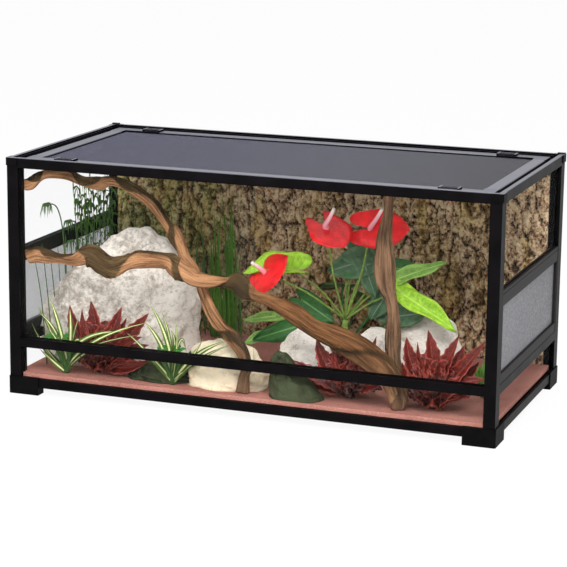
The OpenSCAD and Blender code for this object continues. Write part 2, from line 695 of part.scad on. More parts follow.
// A leaf as a chain of hulls: knots are [outwards, up, half width]
module leaf(knots)
    for (i = [0:len(knots) - 2]) hull() for (k = [knots[i], knots[i + 1]])
        translate([k[0], 0, k[1]]) cube([leaf_t, 2*k[2], leaf_t], center = true);

// Leaves are [angle, reach, height] in shares of the longest leaf
module tuft(s, leaves)
    translate(spot(s)) {
        cylinder(h = 0.12*leaf_l, r1 = 0.09*leaf_l, r2 = 0.05*leaf_l, $fn = 8);
        for (k = leaves) rotate(k[0]) let (r = k[1]*leaf_l, h = k[2]*leaf_l)
            leaf([[0.02*leaf_l, 0.08*leaf_l, 0.025*leaf_l], [0.28*r, 0.66*h, 0.036*leaf_l],
                  [0.6*r, 0.98*h, 0.030*leaf_l], [r, h, 0.008*leaf_l]]);
    }

module spider_plants()
    color([0.45, 0.62, 0.25]) {
        tuft([-0.828, 0.052, 0], [[172, 0.76, 0.84], [150, 0.40, 1.25], [95, 0.30, 1.1],
                                  [40, 0.38, 0.95], [-2, 1.5, 1.05], [-6, 0.7, 0.72]]);
        tuft([-0.346, 0.052, 0], [[176, 0.7, 0.9], [150, 0.42, 1.4], [110, 0.28, 1.25],
                                  [60, 0.30, 1.1], [-3, 1.0, 0.95], [3, 0.66, 0.72]]);
    }

// A rosette of broad pointed leaves, listed as a tuft's are
module rosette(s, leaves)
    translate(spot(s)) {
        cylinder(h = 0.18*leaf_l, r1 = 0.13*leaf_l, r2 = 0.11*leaf_l, $fn = 8);
        for (k = leaves) rotate(k[0]) let (r = k[1]*leaf_l, h = k[2]*leaf_l)
            leaf([[0.04*leaf_l, 0.12*leaf_l, 0.02*leaf_l], [0.5*r, 0.52*h, 0.1*leaf_l],
                  [r, h, 0.01*leaf_l]]);
    }

module red_rosettes()
    color([0.50, 0.14, 0.13]) {
        rosette([-0.700, 0.125, 0], [[5, 0.85, 1.15], [50, 0.42, 1.2], [90, 0.28, 1.25],
                                     [135, 0.42, 1.15], [200, 0.5, 0.42], [270, 0.34, 0.4],
                                     [335, 0.72, 0.5]]);
        rosette([0.400, 0.165, 0], [[12, 0.6, 0.62], [45, 0.42, 1.0], [95, 0.42, 0.95],
                                    [140, 0.75, 0.85], [172, 0.72, 0.5], [235, 0.5, 0.38],
                                    [300, 0.5, 0.38]]);
        rosette([0.735, 0.150, 0], [[4, 0.92, 1.1], [35, 0.6, 1.2], [80, 0.4, 1.25],
                                    [122, 0.42, 1.15], [160, 0.42, 1.05], [180, 0.52, 0.55],
                                    [265, 0.4, 0.4], [330, 0.8, 0.45]]);
    }

// A heart-shaped blade: its heading, how far its tip points down and how far it turns on its midrib
module heart(size, heading, pitch, roll)
    rotate([0, 0, heading + 90]) rotate([pitch, 0, 0]) rotate([0, roll, 0]) {
        hull() {
            translate([0, -0.1*size, 0])
                cylinder(h = leaf_t, r = 0.30*size, $fn = 10, center = true);
            translate([0, -0.95*size, 0])
                cylinder(h = leaf_t, r = 0.03*size, $fn = 6, center = true);
        }
        for (m = [-1, 1]) hull() {
            translate([m*0.24*size, 0.1*size, 0])
                cylinder(h = leaf_t, r = 0.26*size, $fn = 8, center = true);
            translate([0, -0.4*size, 0]) cylinder(h = leaf_t, r = 0.1*size, $fn = 6, center = true);
        }
    }

module stalk(from, to)
    let (mid = (from + to)/2 + [0, 0, norm(to - from)*0.08]) for (p = [[from, mid], [mid, to]])
        hull() for (q = p) translate(q) cube(2*stalk_w, center = true);

module flamingo_flower() {
    root = spot([0.235, 0.555, 0]);
    crown = root + [0, 0, 0.4*leaf_l];
    // place, size in shares of the longest leaf, heading, pitch and roll of the blooms and the blades
    blooms = [[0.012, 0.323, 0.503, 0.55, 190, 25, 45], [0.243, 0.425, 0.718, 0.66, 189, 0, 45],
              [0.324, 0.501, 0.730, 0.92, 0, -5, -45]];
    blades = [[0.106, 0.440, 0.530, 1.0, 185, 2, 40], [0.290, 0.590, 0.580, 0.60, 190, 20, 60],
              [0.470, 0.577, 0.475, 0.85, -7, -27, -50], [0.480, 0.520, 0.430, 1.05, -8, 20, -45],
              [0.070, 0.450, 0.310, 0.80, 183, 12, 50]];
    color([0.30, 0.50, 0.22]) {
        translate(root) cylinder(h = 0.44*leaf_l, r1 = 0.12*leaf_l, r2 = 0.06*leaf_l, $fn = 8);
        for (b = concat(blooms, blades)) stalk(crown, spot(b));
    }
    color([0.80, 0.08, 0.10]) for (b = blooms)
        translate(spot(b)) heart(b[3]*leaf_l, b[4], b[5], b[6]);
    color([0.28, 0.55, 0.18]) for (b = blades)
        translate(spot(b)) heart(b[3]*leaf_l, b[4], b[5], b[6]);
}

// Slender stems against the left pane and in front of the board
module reeds()
    color([0.30, 0.45, 0.20]) {
        for (i = [0:6]) let (y = 0.66 + 0.04*i, top = 0.70 + 0.04*(i % 4))
            stem([-0.965, y, 0], [-0.975 + 0.004*(i % 3), y - 0.22 + 0.03*i, top]);
        for (i = [0:7]) let (x = -0.49 + 0.012*i)
            stem([x, 0.97 - 0.02*(i % 2), 0], [x - 0.01 + 0.02*(i % 3), 0.95, 0.62 - 0.05*(i % 3)]);
    }

module stem(a, b)
    let (from = spot(a), to = spot(b)) hull() {
        translate([from[0], from[1], from[2] + 1.2]) cube(2.4, center = true);
        translate(to) cube(1.6, center = true);
    }

foot(false, false);  // foot_front_left
foot(true, false);  // foot_front_right
foot(false, true);  // foot_rear_left
foot(true, true);  // foot_rear_right
post(false, false);  // post_front_left
post(true, false);  // post_front_right
post(false, true);  // post_rear_left
post(true, true);  // post_rear_right
top_corner(false, false);  // top_corner_front_left
top_corner(true, false);  // top_corner_front_right
top_corner(false, true);  // top_corner_rear_left
top_corner(true, true);  // top_corner_rear_right
bottom_rail_x(false);  // bottom_rail_front
bottom_rail_x(true);  // bottom_rail_rear
bottom_rail_y(false);  // bottom_rail_left
bottom_rail_y(true);  // bottom_rail_right
top_rail_x(false);  // top_rail_front
top_rail_x(true);  // top_rail_rear
top_rail_y(false);  // top_rail_left
top_rail_y(true);  // top_rail_right
door_track();
mid_rail(false);  // mid_rail_left
mid_rail(true);  // mid_rail_right
vent_frame(false);  // vent_frame_left
vent_frame(true);  // vent_frame_right
vent_mesh(false);  // vent_mesh_left
vent_mesh(true);  // vent_mesh_right
floor_pane();
rear_pane();
front_lower_pane();
side_pane(false);  // side_pane_left
side_pane(true);  // side_pane_right
side_lower_pane(false);  // side_lower_pane_left
side_lower_pane(true);  // side_lower_pane_right
door(false);  // door_left
door(true);  // door_right
lid_bar_x(false);  // lid_bar_front
lid_bar_x(true);  // lid_bar_rear
lid_bar_y(false);  // lid_bar_left
lid_bar_y(true);  // lid_bar_right
lid_corner(false, false);  // lid_corner_front_left
lid_corner(true, false);  // lid_corner_front_right
lid_corner(false, true);  // lid_corner_rear_left
lid_corner(true, true);  // lid_corner_rear_right
lid_mesh();
latch(false, false);  // latch_front_left
latch(true, false);  // latch_front_right
latch(false, true);  // latch_rear_left
latch(true, true);  // latch_rear_right
background_board();
sand_bed();
climbing_branch();
twisted_root();
upright_trunk();
large_rock();
small_rocks();
spider_plants();
red_rosettes();
flamingo_flower();
reeds();
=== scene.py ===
"""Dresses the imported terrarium: finishes of the frame and glass, screens, bark, wood, rocks and plants."""

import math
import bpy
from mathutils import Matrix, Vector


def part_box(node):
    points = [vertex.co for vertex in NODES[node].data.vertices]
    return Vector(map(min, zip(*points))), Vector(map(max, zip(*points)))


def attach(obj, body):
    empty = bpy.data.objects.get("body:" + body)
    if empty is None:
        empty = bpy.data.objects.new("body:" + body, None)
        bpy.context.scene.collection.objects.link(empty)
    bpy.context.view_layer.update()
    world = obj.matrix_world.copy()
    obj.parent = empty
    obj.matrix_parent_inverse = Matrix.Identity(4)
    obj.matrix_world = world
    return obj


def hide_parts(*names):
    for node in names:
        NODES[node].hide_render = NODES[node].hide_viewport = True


bl_info = {
    "name": "Furnished glass terrarium",
    "version": (1, 0, 0),
    "blender": (4, 5, 0),
    "location": "View3D > Sidebar > Terrarium",
    "description": "Finishes, screens and planting of a glass terrarium with sliding doors",
    "category": "Object",
}

from functools import partial

import bmesh
import bpy
from bpy.props import FloatProperty, FloatVectorProperty, IntProperty, PointerProperty
from mathutils import Matrix, Vector, noise

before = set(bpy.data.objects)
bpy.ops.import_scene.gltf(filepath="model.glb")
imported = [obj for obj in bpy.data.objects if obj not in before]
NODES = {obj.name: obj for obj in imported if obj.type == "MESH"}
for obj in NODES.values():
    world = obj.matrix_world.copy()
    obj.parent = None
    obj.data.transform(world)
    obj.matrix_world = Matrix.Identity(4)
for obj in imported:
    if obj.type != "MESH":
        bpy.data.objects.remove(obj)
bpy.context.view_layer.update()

BOARD_LOW, BOARD_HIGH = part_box("background_board")
SAND_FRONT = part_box("sand_bed")[0].y

# The room that the furnishing stands in, between the front doors and the bark board
ROOM_X = 0.430
ROOM_FRONT = -0.2075
ROOM_DEPTH = 0.3945
ROOM_FLOOR = 0.038
ROOM_HEIGHT = 0.373

# Half of the side of the studio floor
FLOOR_HALF = 9.0
# Width of the ground edge of a door
GROUND_EDGE = 0.0006
# Distance between the cuts across the sand
SAND_CELL = 0.008
# Places round a limb of driftwood, and rings from knot to knot
LIMB_SIDES = 40
LIMB_STEPS = 9
# Rings of a stalk from point to point
STEM_STEPS = 4
# Turn from one small leaf of a bunch to the next, which spreads them evenly
GOLDEN_ANGLE = 2.39996
# How far above the floor pane the chipped skin of a rock and the underside of the wood stay
ROCK_GAP = 0.0005
WOOD_GAP = 0.0003

UP = Vector((0, 0, 1))
# A direction that no stalk follows
ASKEW = Vector((0.13, 1.0, 0.07))
# Turns that lay an upright wire along each axis
ALONG = (Matrix.Rotation(math.pi / 2, 4, "Y"), Matrix.Rotation(math.pi / 2, 4, "X"), Matrix())


def spot(x, y, z):
    """A place in the room, from shares of its half width, depth and height."""
    return Vector((x * ROOM_X, ROOM_FRONT + y * ROOM_DEPTH, ROOM_FLOOR + z * ROOM_HEIGHT))


def linear(code):
    """A linear colour from an sRGB hex value."""
    shares = [int(code[i : i + 2], 16) / 255 for i in (0, 2, 4)]
    return [c / 12.92 if c <= 0.04045 else ((c + 0.055) / 1.055) ** 2.4 for c in shares] + [1.0]


# The colour sockets of a Mix node, whose names are also those of its other sockets
COLOUR_A, COLOUR_B = 6, 7
BLEND = {"data_type": "RGBA"}
TINT = {"data_type": "RGBA", "blend_type": "MULTIPLY"}


def add_node(tree, kind, inputs=None, stops=(), **settings):
    """Adds one node with its settings; inputs are values, hex colours, or nodes or sockets to link."""
    node = tree.nodes.new("ShaderNode" + kind)
    for key, value in settings.items():
        setattr(node, key, value)
    for i, (place, colour) in enumerate(stops):
        elements = node.color_ramp.elements
        element = elements[i] if i < len(elements) else elements.new(1.0)
        element.position = place
        element.color = linear(colour) if isinstance(colour, str) else colour
    for key, value in (inputs or {}).items():
        if isinstance(value, bpy.types.Node):
            value = next(socket for socket in value.outputs if socket.enabled)
        if isinstance(value, bpy.types.NodeSocket):
            tree.links.new(value, node.inputs[key])
        else:
            node.inputs[key].default_value = linear(value) if isinstance(value, str) else value
    return node


def start_material(name):
    """An empty material, and the function that adds nodes to it."""
    material = bpy.data.materials.new(name)
    material.use_nodes = True
    material.node_tree.nodes.clear()
    return material, partial(add_node, material.node_tree)


def end_material(material, **inputs):
    """Closes a material with its Principled shader; underscores in socket names stand for spaces."""
    sockets = {key.replace("_", " "): value for key, value in inputs.items()}
    shader = add_node(material.node_tree, "BsdfPrincipled", sockets)
    add_node(material.node_tree, "OutputMaterial", {"Surface": shader})
    return material


def colours():
    return bpy.context.scene.terrarium_colours


def sizes():
    return bpy.context.scene.terrarium_sizes


# ---------- materials ----------


def gleaming_tops(add, tone):
    """Faces that look up get a glossy coat and a blue-grey painted sheen in their colour; others stay dull.
    """
    axes = add("SeparateXYZ", {"Vector": add("TexCoord").outputs["Normal"]})
    flat = add("MapRange", {"Value": axes.outputs["Z"], "From Min": 0.25, "From Max": 0.85})
    # painted sheen: up-facing faces lightened towards blue-grey, standing in for the reflection of the bright
    # studio
    painted_sheen = add("Mix", {0: flat, COLOUR_A: tone, COLOUR_B: "3c3c4a"}, **BLEND)
    return {"Base_Color": painted_sheen, "Coat_Weight": flat, "Coat_IOR": 1.7}


def powder_coat(name, painted_top_sheen):
    # Aluminium extrusions, powder coated satin black: a faint orange peel of about 1.2 mm breaks the sheen
    material, add = start_material(name)
    place = add("TexCoord").outputs["Object"]
    peel = add("TexNoise", {"Vector": place, "Scale": 800.0, "Detail": 2.0})
    drift = add("TexNoise", {"Vector": place, "Scale": 22.0, "Detail": 4.0})
    tone = add("ValToRGB", {"Fac": drift}, stops=[(0.35, "080708"), (0.7, colours().frame_black)])
    rough = add("MapRange", {"Value": drift, "To Min": 0.32, "To Max": 0.46})
    bump = add("Bump", {"Height": peel, "Strength": 0.12, "Distance": 0.0004})
    # the tops of this finish carry a painted sheen
    looks = gleaming_tops(add, tone) if painted_top_sheen else {"Base_Color": tone}
    return end_material(material, Roughness=rough, Normal=bump, IOR=1.5, Specular_IOR_Level=0.03,
                        Coat_Roughness=0.35, **looks)


def moulded_black(name, painted_top_sheen):
    # Feet, corners and latches, injection moulded ABS: an even spark-eroded grain of about 0.8 mm
    material, add = start_material(name)
    place = add("TexCoord").outputs["Object"]
    grain = add("TexNoise", {"Vector": place, "Scale": 1300.0, "Detail": 3.0})
    drift = add("TexNoise", {"Vector": place, "Scale": 35.0, "Detail": 2.0})
    tone = add("ValToRGB", {"Fac": drift}, stops=[(0.3, colours().corner_black), (0.75, "0f0e0f")])
    rough = add("MapRange", {"Value": grain, "To Min": 0.36, "To Max": 0.56})
    bump = add("Bump", {"Height": grain, "Strength": 0.25, "Distance": 0.0003})
    # the tops of this finish carry a painted sheen
    looks = gleaming_tops(add, tone) if painted_top_sheen else {"Base_Color": tone}
    return end_material(material, Roughness=rough, Normal=bump, IOR=1.53, Specular_IOR_Level=0.02,
                        Coat_Roughness=0.4, **looks)


def vent_plastic():
    # Vent frames, extruded PVC in dark warm grey: dull, with faint drawing lines 1.5 mm apart along the bars
    material, add = start_material("extruded_grey_pvc")
    place = add("TexCoord").outputs["Object"]
    lines = add("Mapping", {"Vector": place, "Scale": (600.0, 8.0, 600.0)})
    streak = add("TexNoise", {"Vector": lines, "Scale": 1.0, "Detail": 2.0})
    tone = add("ValToRGB", {"Fac": streak}, stops=[(0.3, "1b1819"), (0.7, colours().vent_grey)])
    rough = add("MapRange", {"Value": streak, "To Min": 0.45, "To Max": 0.6})
    bump = add("Bump", {"Height": streak, "Strength": 0.15, "Distance": 0.0003})
    return end_material(material, Base_Color=tone, Roughness=rough, Normal=bump, IOR=1.53,
                        Specular_IOR_Level=0.08)


def wire(name, colour, metal, painted_light_share=0.0):
    # Woven steel wire: drawn bright or enamelled, with crowns that wear a little paler every few millimetres
    material, add = start_material(name)
    place = add("TexCoord").outputs["Object"]
    wear = add("TexNoise", {"Vector": place, "Scale": 240.0, "Detail": 2.0})
    pale = [min(1.0, c * 1.6 + 0.02) for c in colour[:3]] + [1.0]
    tone = add("ValToRGB", {"Fac": wear}, stops=[(0.4, colour), (0.8, pale)])
    rough = add("MapRange", {"Value": wear, "To Min": 0.3, "To Max": 0.5})
    # painted light: the enamel a little lighter at the left end and darker at the right, as the light falls
    # on it
    axes = add("SeparateXYZ", {"Vector": place})
    painted_light_ramp = add("MapRange", {"Value": axes.outputs["X"], "From Min": -0.4, "From Max": 0.4,
                              "To Min": 1 + painted_light_share, "To Max": 1 - painted_light_share})
    shade = add("Mix", {0: 1.0, COLOUR_A: tone, COLOUR_B: painted_light_ramp}, **TINT)
    return end_material(material, Base_Color=shade, Roughness=rough, Metallic=metal)


def float_glass():
    # Clear float glass: almost nothing shows but a faint green-grey film
    material, _ = start_material("clear_float_glass")
    return end_material(material, Base_Color=colours().glass, Roughness=0.03, IOR=1.5, Alpha=0.018)


def glass_edge():
    # Ground and polished edge of a door: light gathers there, so it looks sea green
    material, _ = start_material("polished_glass_edge")
    return end_material(material, Base_Color=colours().glass_edge, Roughness=0.15, IOR=1.5, Alpha=0.16)


def cork_bark():
    # Pressed bark board: rugged upright plates 10 to 30 mm wide, near-black cracks, ochre crowns and moss
    material, add = start_material("pressed_cork_bark")
    tint = colours()
    place = add("TexCoord").outputs["Object"]
    rise = add("Attribute", attribute_name="rise").outputs["Fac"]
    tall = add("Mapping", {"Vector": place, "Scale": (270.0, 270.0, 160.0)})
    flakes = add("TexNoise", {"Vector": tall, "Scale": 1.0, "Detail": 6.0, "Roughness": 0.78})
    low = add("Math", {0: rise, 1: 0.8}, operation="MULTIPLY")
    mixed = add("Math", {0: flakes, 1: 1.9, 2: low}, operation="MULTIPLY_ADD")
    level = add("MapRange", {"Value": mixed, "From Min": 0.93, "From Max": 1.70})
    brown = add("ValToRGB", {"Fac": level}, stops=[(0.02, "2c2118"), (0.28, tint.bark_dark),
                                                   (0.5, tint.bark_mid), (0.72, tint.bark_tan),
                                                   (0.95, "ecd8b2")])
    ochre = add("ValToRGB", {"Fac": level}, stops=[(0.02, "44351f"), (0.28, "846a44"), (0.55, "a88a58"),
                                                   (0.85, "dcc080")])
    # upright ochre bands about 40 mm wide
    bands = add("Mapping", {"Vector": place, "Scale": (24.0, 24.0, 5.0)})
    band = add("TexNoise", {"Vector": bands, "Scale": 1.0, "Detail": 4.0})
    yellow = add("MapRange", {"Value": band, "From Min": 0.48, "From Max": 0.62})
    warm = add("Mix", {0: yellow, COLOUR_A: brown, COLOUR_B: ochre}, **BLEND)
    # moss in upright wisps 5 mm wide, thick on the left and gone past the middle
    greens = add("ValToRGB", {"Fac": level}, stops=[(0.05, "484b2a"), (0.35, "6c7038"),
                                                    (0.6, tint.bark_algae), (0.9, "c0bc80")])
    axes = add("SeparateXYZ", {"Vector": place})
    left = add("MapRange", {"Value": axes.outputs["X"], "From Min": 0.02, "From Max": -0.22})
    blades = add("Mapping", {"Vector": place, "Scale": (170.0, 170.0, 16.0)})
    wisps = add("TexNoise", {"Vector": blades, "Scale": 1.0, "Detail": 3.0})
    patch = add("TexNoise", {"Vector": place, "Scale": 14.0, "Detail": 3.0})
    blend = add("Mix", {0: 0.5, "A": wisps, "B": patch})
    spread = add("Math", {0: left, 1: blend}, operation="MULTIPLY")
    share = add("MapRange", {"Value": spread, "From Min": 0.40, "From Max": 0.56, "To Max": 0.75})
    both = add("Mix", {0: share, COLOUR_A: warm, COLOUR_B: greens}, **BLEND)
    # small flakes of rust-red inner bark
    specks = add("TexNoise", {"Vector": place, "Scale": 130.0, "Detail": 2.0})
    rust = add("MapRange", {"Value": specks, "From Min": 0.62, "From Max": 0.69, "To Max": 0.85})
    tone = add("Mix", {0: rust, COLOUR_A: both, COLOUR_B: "b0683c"}, **BLEND)
    bump = add("Bump", {"Height": flakes, "Strength": 0.9, "Distance": 0.003})
    return end_material(material, Base_Color=tone, Normal=bump, Roughness=0.95, IOR=1.4,
                        Specular_IOR_Level=0.15)


def red_sand():
    # Desert sand, terracotta pink: grains drawn 1.5 mm across, coarser than real so that they show
    material, add = start_material("red_desert_sand")
    place = add("TexCoord").outputs["Object"]
    grains = add("TexNoise", {"Vector": place, "Scale": 650.0, "Detail": 2.0})
    drift = add("TexNoise", {"Vector": place, "Scale": 14.0, "Detail": 3.0})
    ground = add("ValToRGB", {"Fac": drift}, stops=[(0.3, "9c6258"), (0.7, colours().sand)])
    speck = add("MapRange", {"Value": grains, "From Min": 0.5, "From Max": 0.75})
    tone = add("Mix", {0: speck, COLOUR_A: ground, COLOUR_B: "d6a798"}, **BLEND)
    bump = add("Bump", {"Height": grains, "Strength": 0.6, "Distance": 0.001})
    return end_material(material, Base_Color=tone, Normal=bump, Roughness=0.95, IOR=1.4,
                        Specular_IOR_Level=0.15)


def driftwood(name, light, mid, dark, aged):
    # Sand-blasted root wood: grain streaks 2 to 3 mm wide, tan crowns, an olive brown trough painted darker
    # as shade, near-black seams and painted shadow lines
    material, add = start_material(name)
    grain = add("Attribute", attribute_name="grain").outputs["Vector"]
    hollow = add("Attribute", attribute_name="hollow").outputs["Fac"]
    seam_and_shade = add("Attribute", attribute_name="seam_and_shade").outputs["Fac"]
    long = add("Mapping", {"Vector": grain, "Scale": (380.0, 380.0, 16.0)})
    streak = add("TexNoise", {"Vector": long, "Scale": 1.0, "Detail": 5.0, "Roughness": 0.7})
    broad = add("Mapping", {"Vector": grain, "Scale": (60.0, 60.0, 16.0)})
    shade = add("TexNoise", {"Vector": broad, "Scale": 1.0, "Detail": 3.0})
    level = add("Mix", {0: 0.4, "A": streak, "B": shade})
    wood = add("ValToRGB", {"Fac": level}, stops=[(0.37, dark), (0.46, mid), (0.57, light)])
    deep = add("ValToRGB", {"Fac": level}, stops=[(0.38, "281c13"), (0.5, "574329"), (0.62, "78613e")])
    # painted shade: the trough darker olive brown than the faces round it
    face = add("Mix", {0: hollow, COLOUR_A: wood, COLOUR_B: deep}, **BLEND)
    # older, greyer wood towards the right end
    axes = add("SeparateXYZ", {"Vector": add("TexCoord").outputs["Object"]})
    age = add("MapRange", {"Value": axes.outputs["X"], "From Min": -0.14, "From Max": 0.04, "To Max": aged})
    worn = add("Mix", {0: age, COLOUR_A: face, COLOUR_B: "b9ae9c"}, **TINT)
    # paler near the sand
    low = add("MapRange", {"Value": axes.outputs["Z"], "From Min": 0.13, "From Max": 0.05, "To Max": 0.5})
    paler_near_sand = add("Mix", {0: low, COLOUR_A: worn, COLOUR_B: "a98468"}, **BLEND)
    pits = add("TexNoise", {"Vector": broad, "Scale": 4.0, "Detail": 3.0})
    pit = add("MapRange", {"Value": pits, "From Min": 0.60, "From Max": 0.68, "To Max": 0.6})
    # hair-thin dark checks along the grain
    hair = add("Mapping", {"Vector": grain, "Scale": (620.0, 620.0, 9.0)})
    checks = add("TexNoise", {"Vector": hair, "Scale": 1.0, "Detail": 3.0})
    check = add("MapRange", {"Value": checks, "From Min": 0.57, "From Max": 0.66, "To Max": 0.7})
    open_grain = add("Math", {0: check, 1: pit}, operation="MAXIMUM")
    # the seam attribute brings seams, a painted shadow line at the trough's edge and painted shade in the
    # trough
    both = add("Math", {0: seam_and_shade, 1: open_grain}, operation="MAXIMUM")
    depth = add("Math", {0: both, 1: 0.8}, operation="MULTIPLY")
    tone = add("Mix", {0: depth, COLOUR_A: paler_near_sand, COLOUR_B: "2b1d14"}, **BLEND)
    bump = add("Bump", {"Height": streak, "Strength": 0.6, "Distance": 0.0018})
    return end_material(material, Base_Color=tone, Normal=bump, Roughness=0.8, IOR=1.45,
                        Specular_IOR_Level=0.12)


def stone(name, pale, dark, grit, vein):
    # Weathered stone: grit of a few millimetres, fine dark seams and chips, no shine
    material, add = start_material(name)
    place = add("TexCoord").outputs["Object"]
    blotch = add("TexNoise", {"Vector": place, "Scale": 26.0, "Detail": 5.0, "Roughness": 0.6})
    chips = add("TexNoise", {"Vector": place, "Scale": grit, "Detail": 6.0, "Roughness": 0.7})
    both = add("Mix", {0: 0.5, "A": blotch, "B": chips})
    # painted light: darker on the left, lighter towards the right, as the light falls from the right
    axes = add("SeparateXYZ", {"Vector": place})
    painted_light_shift = add("MapRange", {"Value": axes.outputs["X"], "From Min": -0.33, "From Max": -0.16,
                             "To Min": -0.04, "To Max": 0.07})
    level = add("Math", {0: both, 1: painted_light_shift}, operation="ADD")
    base = add("ValToRGB", {"Fac": level}, stops=[(0.4, dark), (0.54, pale)])
    # thin seams that run askew through the stone
    askew = add("Mapping", {"Vector": place, "Scale": (36.0, 36.0, 80.0), "Rotation": (0.5, 0.35, 0.2)})
    seams = add("TexNoise", {"Vector": askew, "Scale": 1.0, "Detail": 4.0})
    off = add("Math", {0: seams, 1: 0.5}, operation="SUBTRACT")
    near = add("Math", {0: off}, operation="ABSOLUTE")
    line = add("MapRange", {"Value": near, "From Min": 0.012, "From Max": 0.0, "To Max": vein})
    tone = add("Mix", {0: line, COLOUR_A: base, COLOUR_B: "5a5048"}, **BLEND)
    bump = add("Bump", {"Height": chips, "Strength": 0.9, "Distance": 0.004})
    return end_material(material, Base_Color=tone, Normal=bump, Roughness=0.9, IOR=1.5,
                        Specular_IOR_Level=0.15)


def foliage(name, middle, margin, rib, split, gloss=0.45, base=None, shine=0.2, mottled=0.3):
    # Moulded polyester leaf: a midrib, side veins every 4 mm or so, and a margin of its own colour
    material, add = start_material(name)
    uv = add("UVMap")
    axes = add("SeparateXYZ", {"Vector": uv})
    off = add("Math", {0: axes.outputs["X"], 1: 0.5}, operation="SUBTRACT")
    across = add("Math", {0: off}, operation="ABSOLUTE")
    place = add("TexCoord").outputs["Object"]
    mottle = add("TexNoise", {"Vector": place, "Scale": 110.0, "Detail": 3.0})
    shifted = add("Math", {0: mottle, 1: 0.09, 2: across}, operation="MULTIPLY_ADD")
    bands = add("ValToRGB", {"Fac": shifted}, stops=[(0.05, rib), (0.09, middle), (split, middle),
                                                     (split + 0.07, margin)])
    veins = add("Mapping", {"Vector": uv, "Scale": (5.0, 42.0, 1.0)})
    ribs = add("TexNoise", {"Vector": veins, "Scale": 1.0, "Detail": 3.0})
    worn = add("Mix", {0: 0.55, "A": mottle, "B": ribs})
    shade = add("MapRange", {"Value": worn, "From Min": 0.38, "From Max": 0.62, "To Min": 1 - mottled,
                             "To Max": 1 + 0.8 * mottled})
    tone = add("Mix", {0: 1.0, COLOUR_A: bands, COLOUR_B: shade}, **TINT)
    # painted shade: the leaf darkens towards its foot, in the shaded heart of the plant
    if base:
        low = add("MapRange", {"Value": axes.outputs["Y"], "From Min": 0.35, "From Max": 0.0})
        tone = add("Mix", {0: low, COLOUR_A: tone, COLOUR_B: base}, **BLEND)
    bump = add("Bump", {"Height": ribs, "Strength": 0.35, "Distance": 0.001})
    return end_material(material, Base_Color=tone, Normal=bump, Roughness=gloss, IOR=1.45,
                        Specular_IOR_Level=shine)


def spathe_red():
    # Flower bract, lacquered: bright red, quilted in dimples about 5 mm across
    material, add = start_material("lacquered_red_bract")
    place = add("TexCoord").outputs["Object"]
    quilt = add("TexVoronoi", {"Vector": place, "Scale": 150.0})
    drift = add("TexNoise", {"Vector": place, "Scale": 60.0, "Detail": 2.0})
    tone = add("ValToRGB", {"Fac": drift}, stops=[(0.3, "d0151c"), (0.7, colours().flower_red)])
    bump = add("Bump", {"Height": quilt, "Strength": 0.35, "Distance": 0.0015})
    return end_material(material, Base_Color=tone, Normal=bump, Roughness=0.35, IOR=1.5,
                        Specular_IOR_Level=0.3)


def spadix_pink():
    # Flower spike: pink at the foot, white at the tip, closely pimpled
    material, add = start_material("pimpled_pink_spike")
    axes = add("SeparateXYZ", {"Vector": add("UVMap")})
    tone = add("ValToRGB", {"Fac": axes.outputs["Y"]},
               stops=[(0.1, "e98f9c"), (0.6, "f0b8bf"), (1.0, "f8f0e6")])
    place = add("TexCoord").outputs["Object"]
    pimples = add("TexVoronoi", {"Vector": place, "Scale": 420.0})
    bump = add("Bump", {"Height": pimples, "Strength": 0.5, "Distance": 0.001})
    return end_material(material, Base_Color=tone, Normal=bump, Roughness=0.55)


# ---------- making pieces ----------


def add_object(name, data):
    item = bpy.data.objects.new(name, data)
    bpy.context.scene.collection.objects.link(item)
    return item


def skin(name, bm, materials, smooth=True):
    """Turns a mesh in the making into an object with its finishes."""
    mesh = bpy.data.meshes.new(name)
    bm.to_mesh(mesh)
    bm.free()
    if smooth:
        mesh.shade_smooth()
    for material in materials:
        mesh.materials.append(material)
    return add_object(name, mesh)


def finish_piece(name, bm, materials, stands_for, body="tank", smooth=True):
    """Makes a piece that rides on a body and takes the place of a CAD node."""
    piece = skin(name, bm, materials, smooth)
    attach(piece, body)
    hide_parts(stands_for)
    return piece


def finish_plant(name, bm, materials, stands_for):
    """Makes a piece of leaves, which get their thickness."""
    wall = finish_piece(name, bm, materials, stands_for).modifiers.new("leaf thickness", "SOLIDIFY")
    wall.thickness = sizes().leaf_thick
    wall.offset = 0.0


def paint(material, names):
    """Gives CAD nodes their real finish."""
    for name in names:
        for material_slot in NODES[name].material_slots:
            material_slot.material = material


def cad_copy(name):
    """The mesh of a CAD node with its doubled corners welded, to be worked on."""
    bm = bmesh.new()
    bm.from_mesh(NODES[name].data)
    bmesh.ops.remove_doubles(bm, verts=bm.verts, dist=1e-6)
    return bm


def heading(way, deep=1.0, rise=0.0):
    """The direction that lies way radians round from the right, its depth squashed and its height given."""
    return Vector((math.cos(way), deep * math.sin(way), rise))


def along_path(points, steps):
    """Points on a smooth curve through the given ones, which may have any number of values each."""
    path = []
    for a, b, c, d in zip([points[0], *points], points, points[1:], [*points[2:], points[-1]]):
        for t in [j / steps for j in range(steps)]:
            path.append([0.5 * (2 * q + (r - p) * t + (2 * p - 5 * q + 4 * r - s) * t * t
                                + (3 * q - p - 3 * r + s) * t ** 3) for p, q, r, s in zip(a, b, c, d)])
    return path + [list(points[-1])]


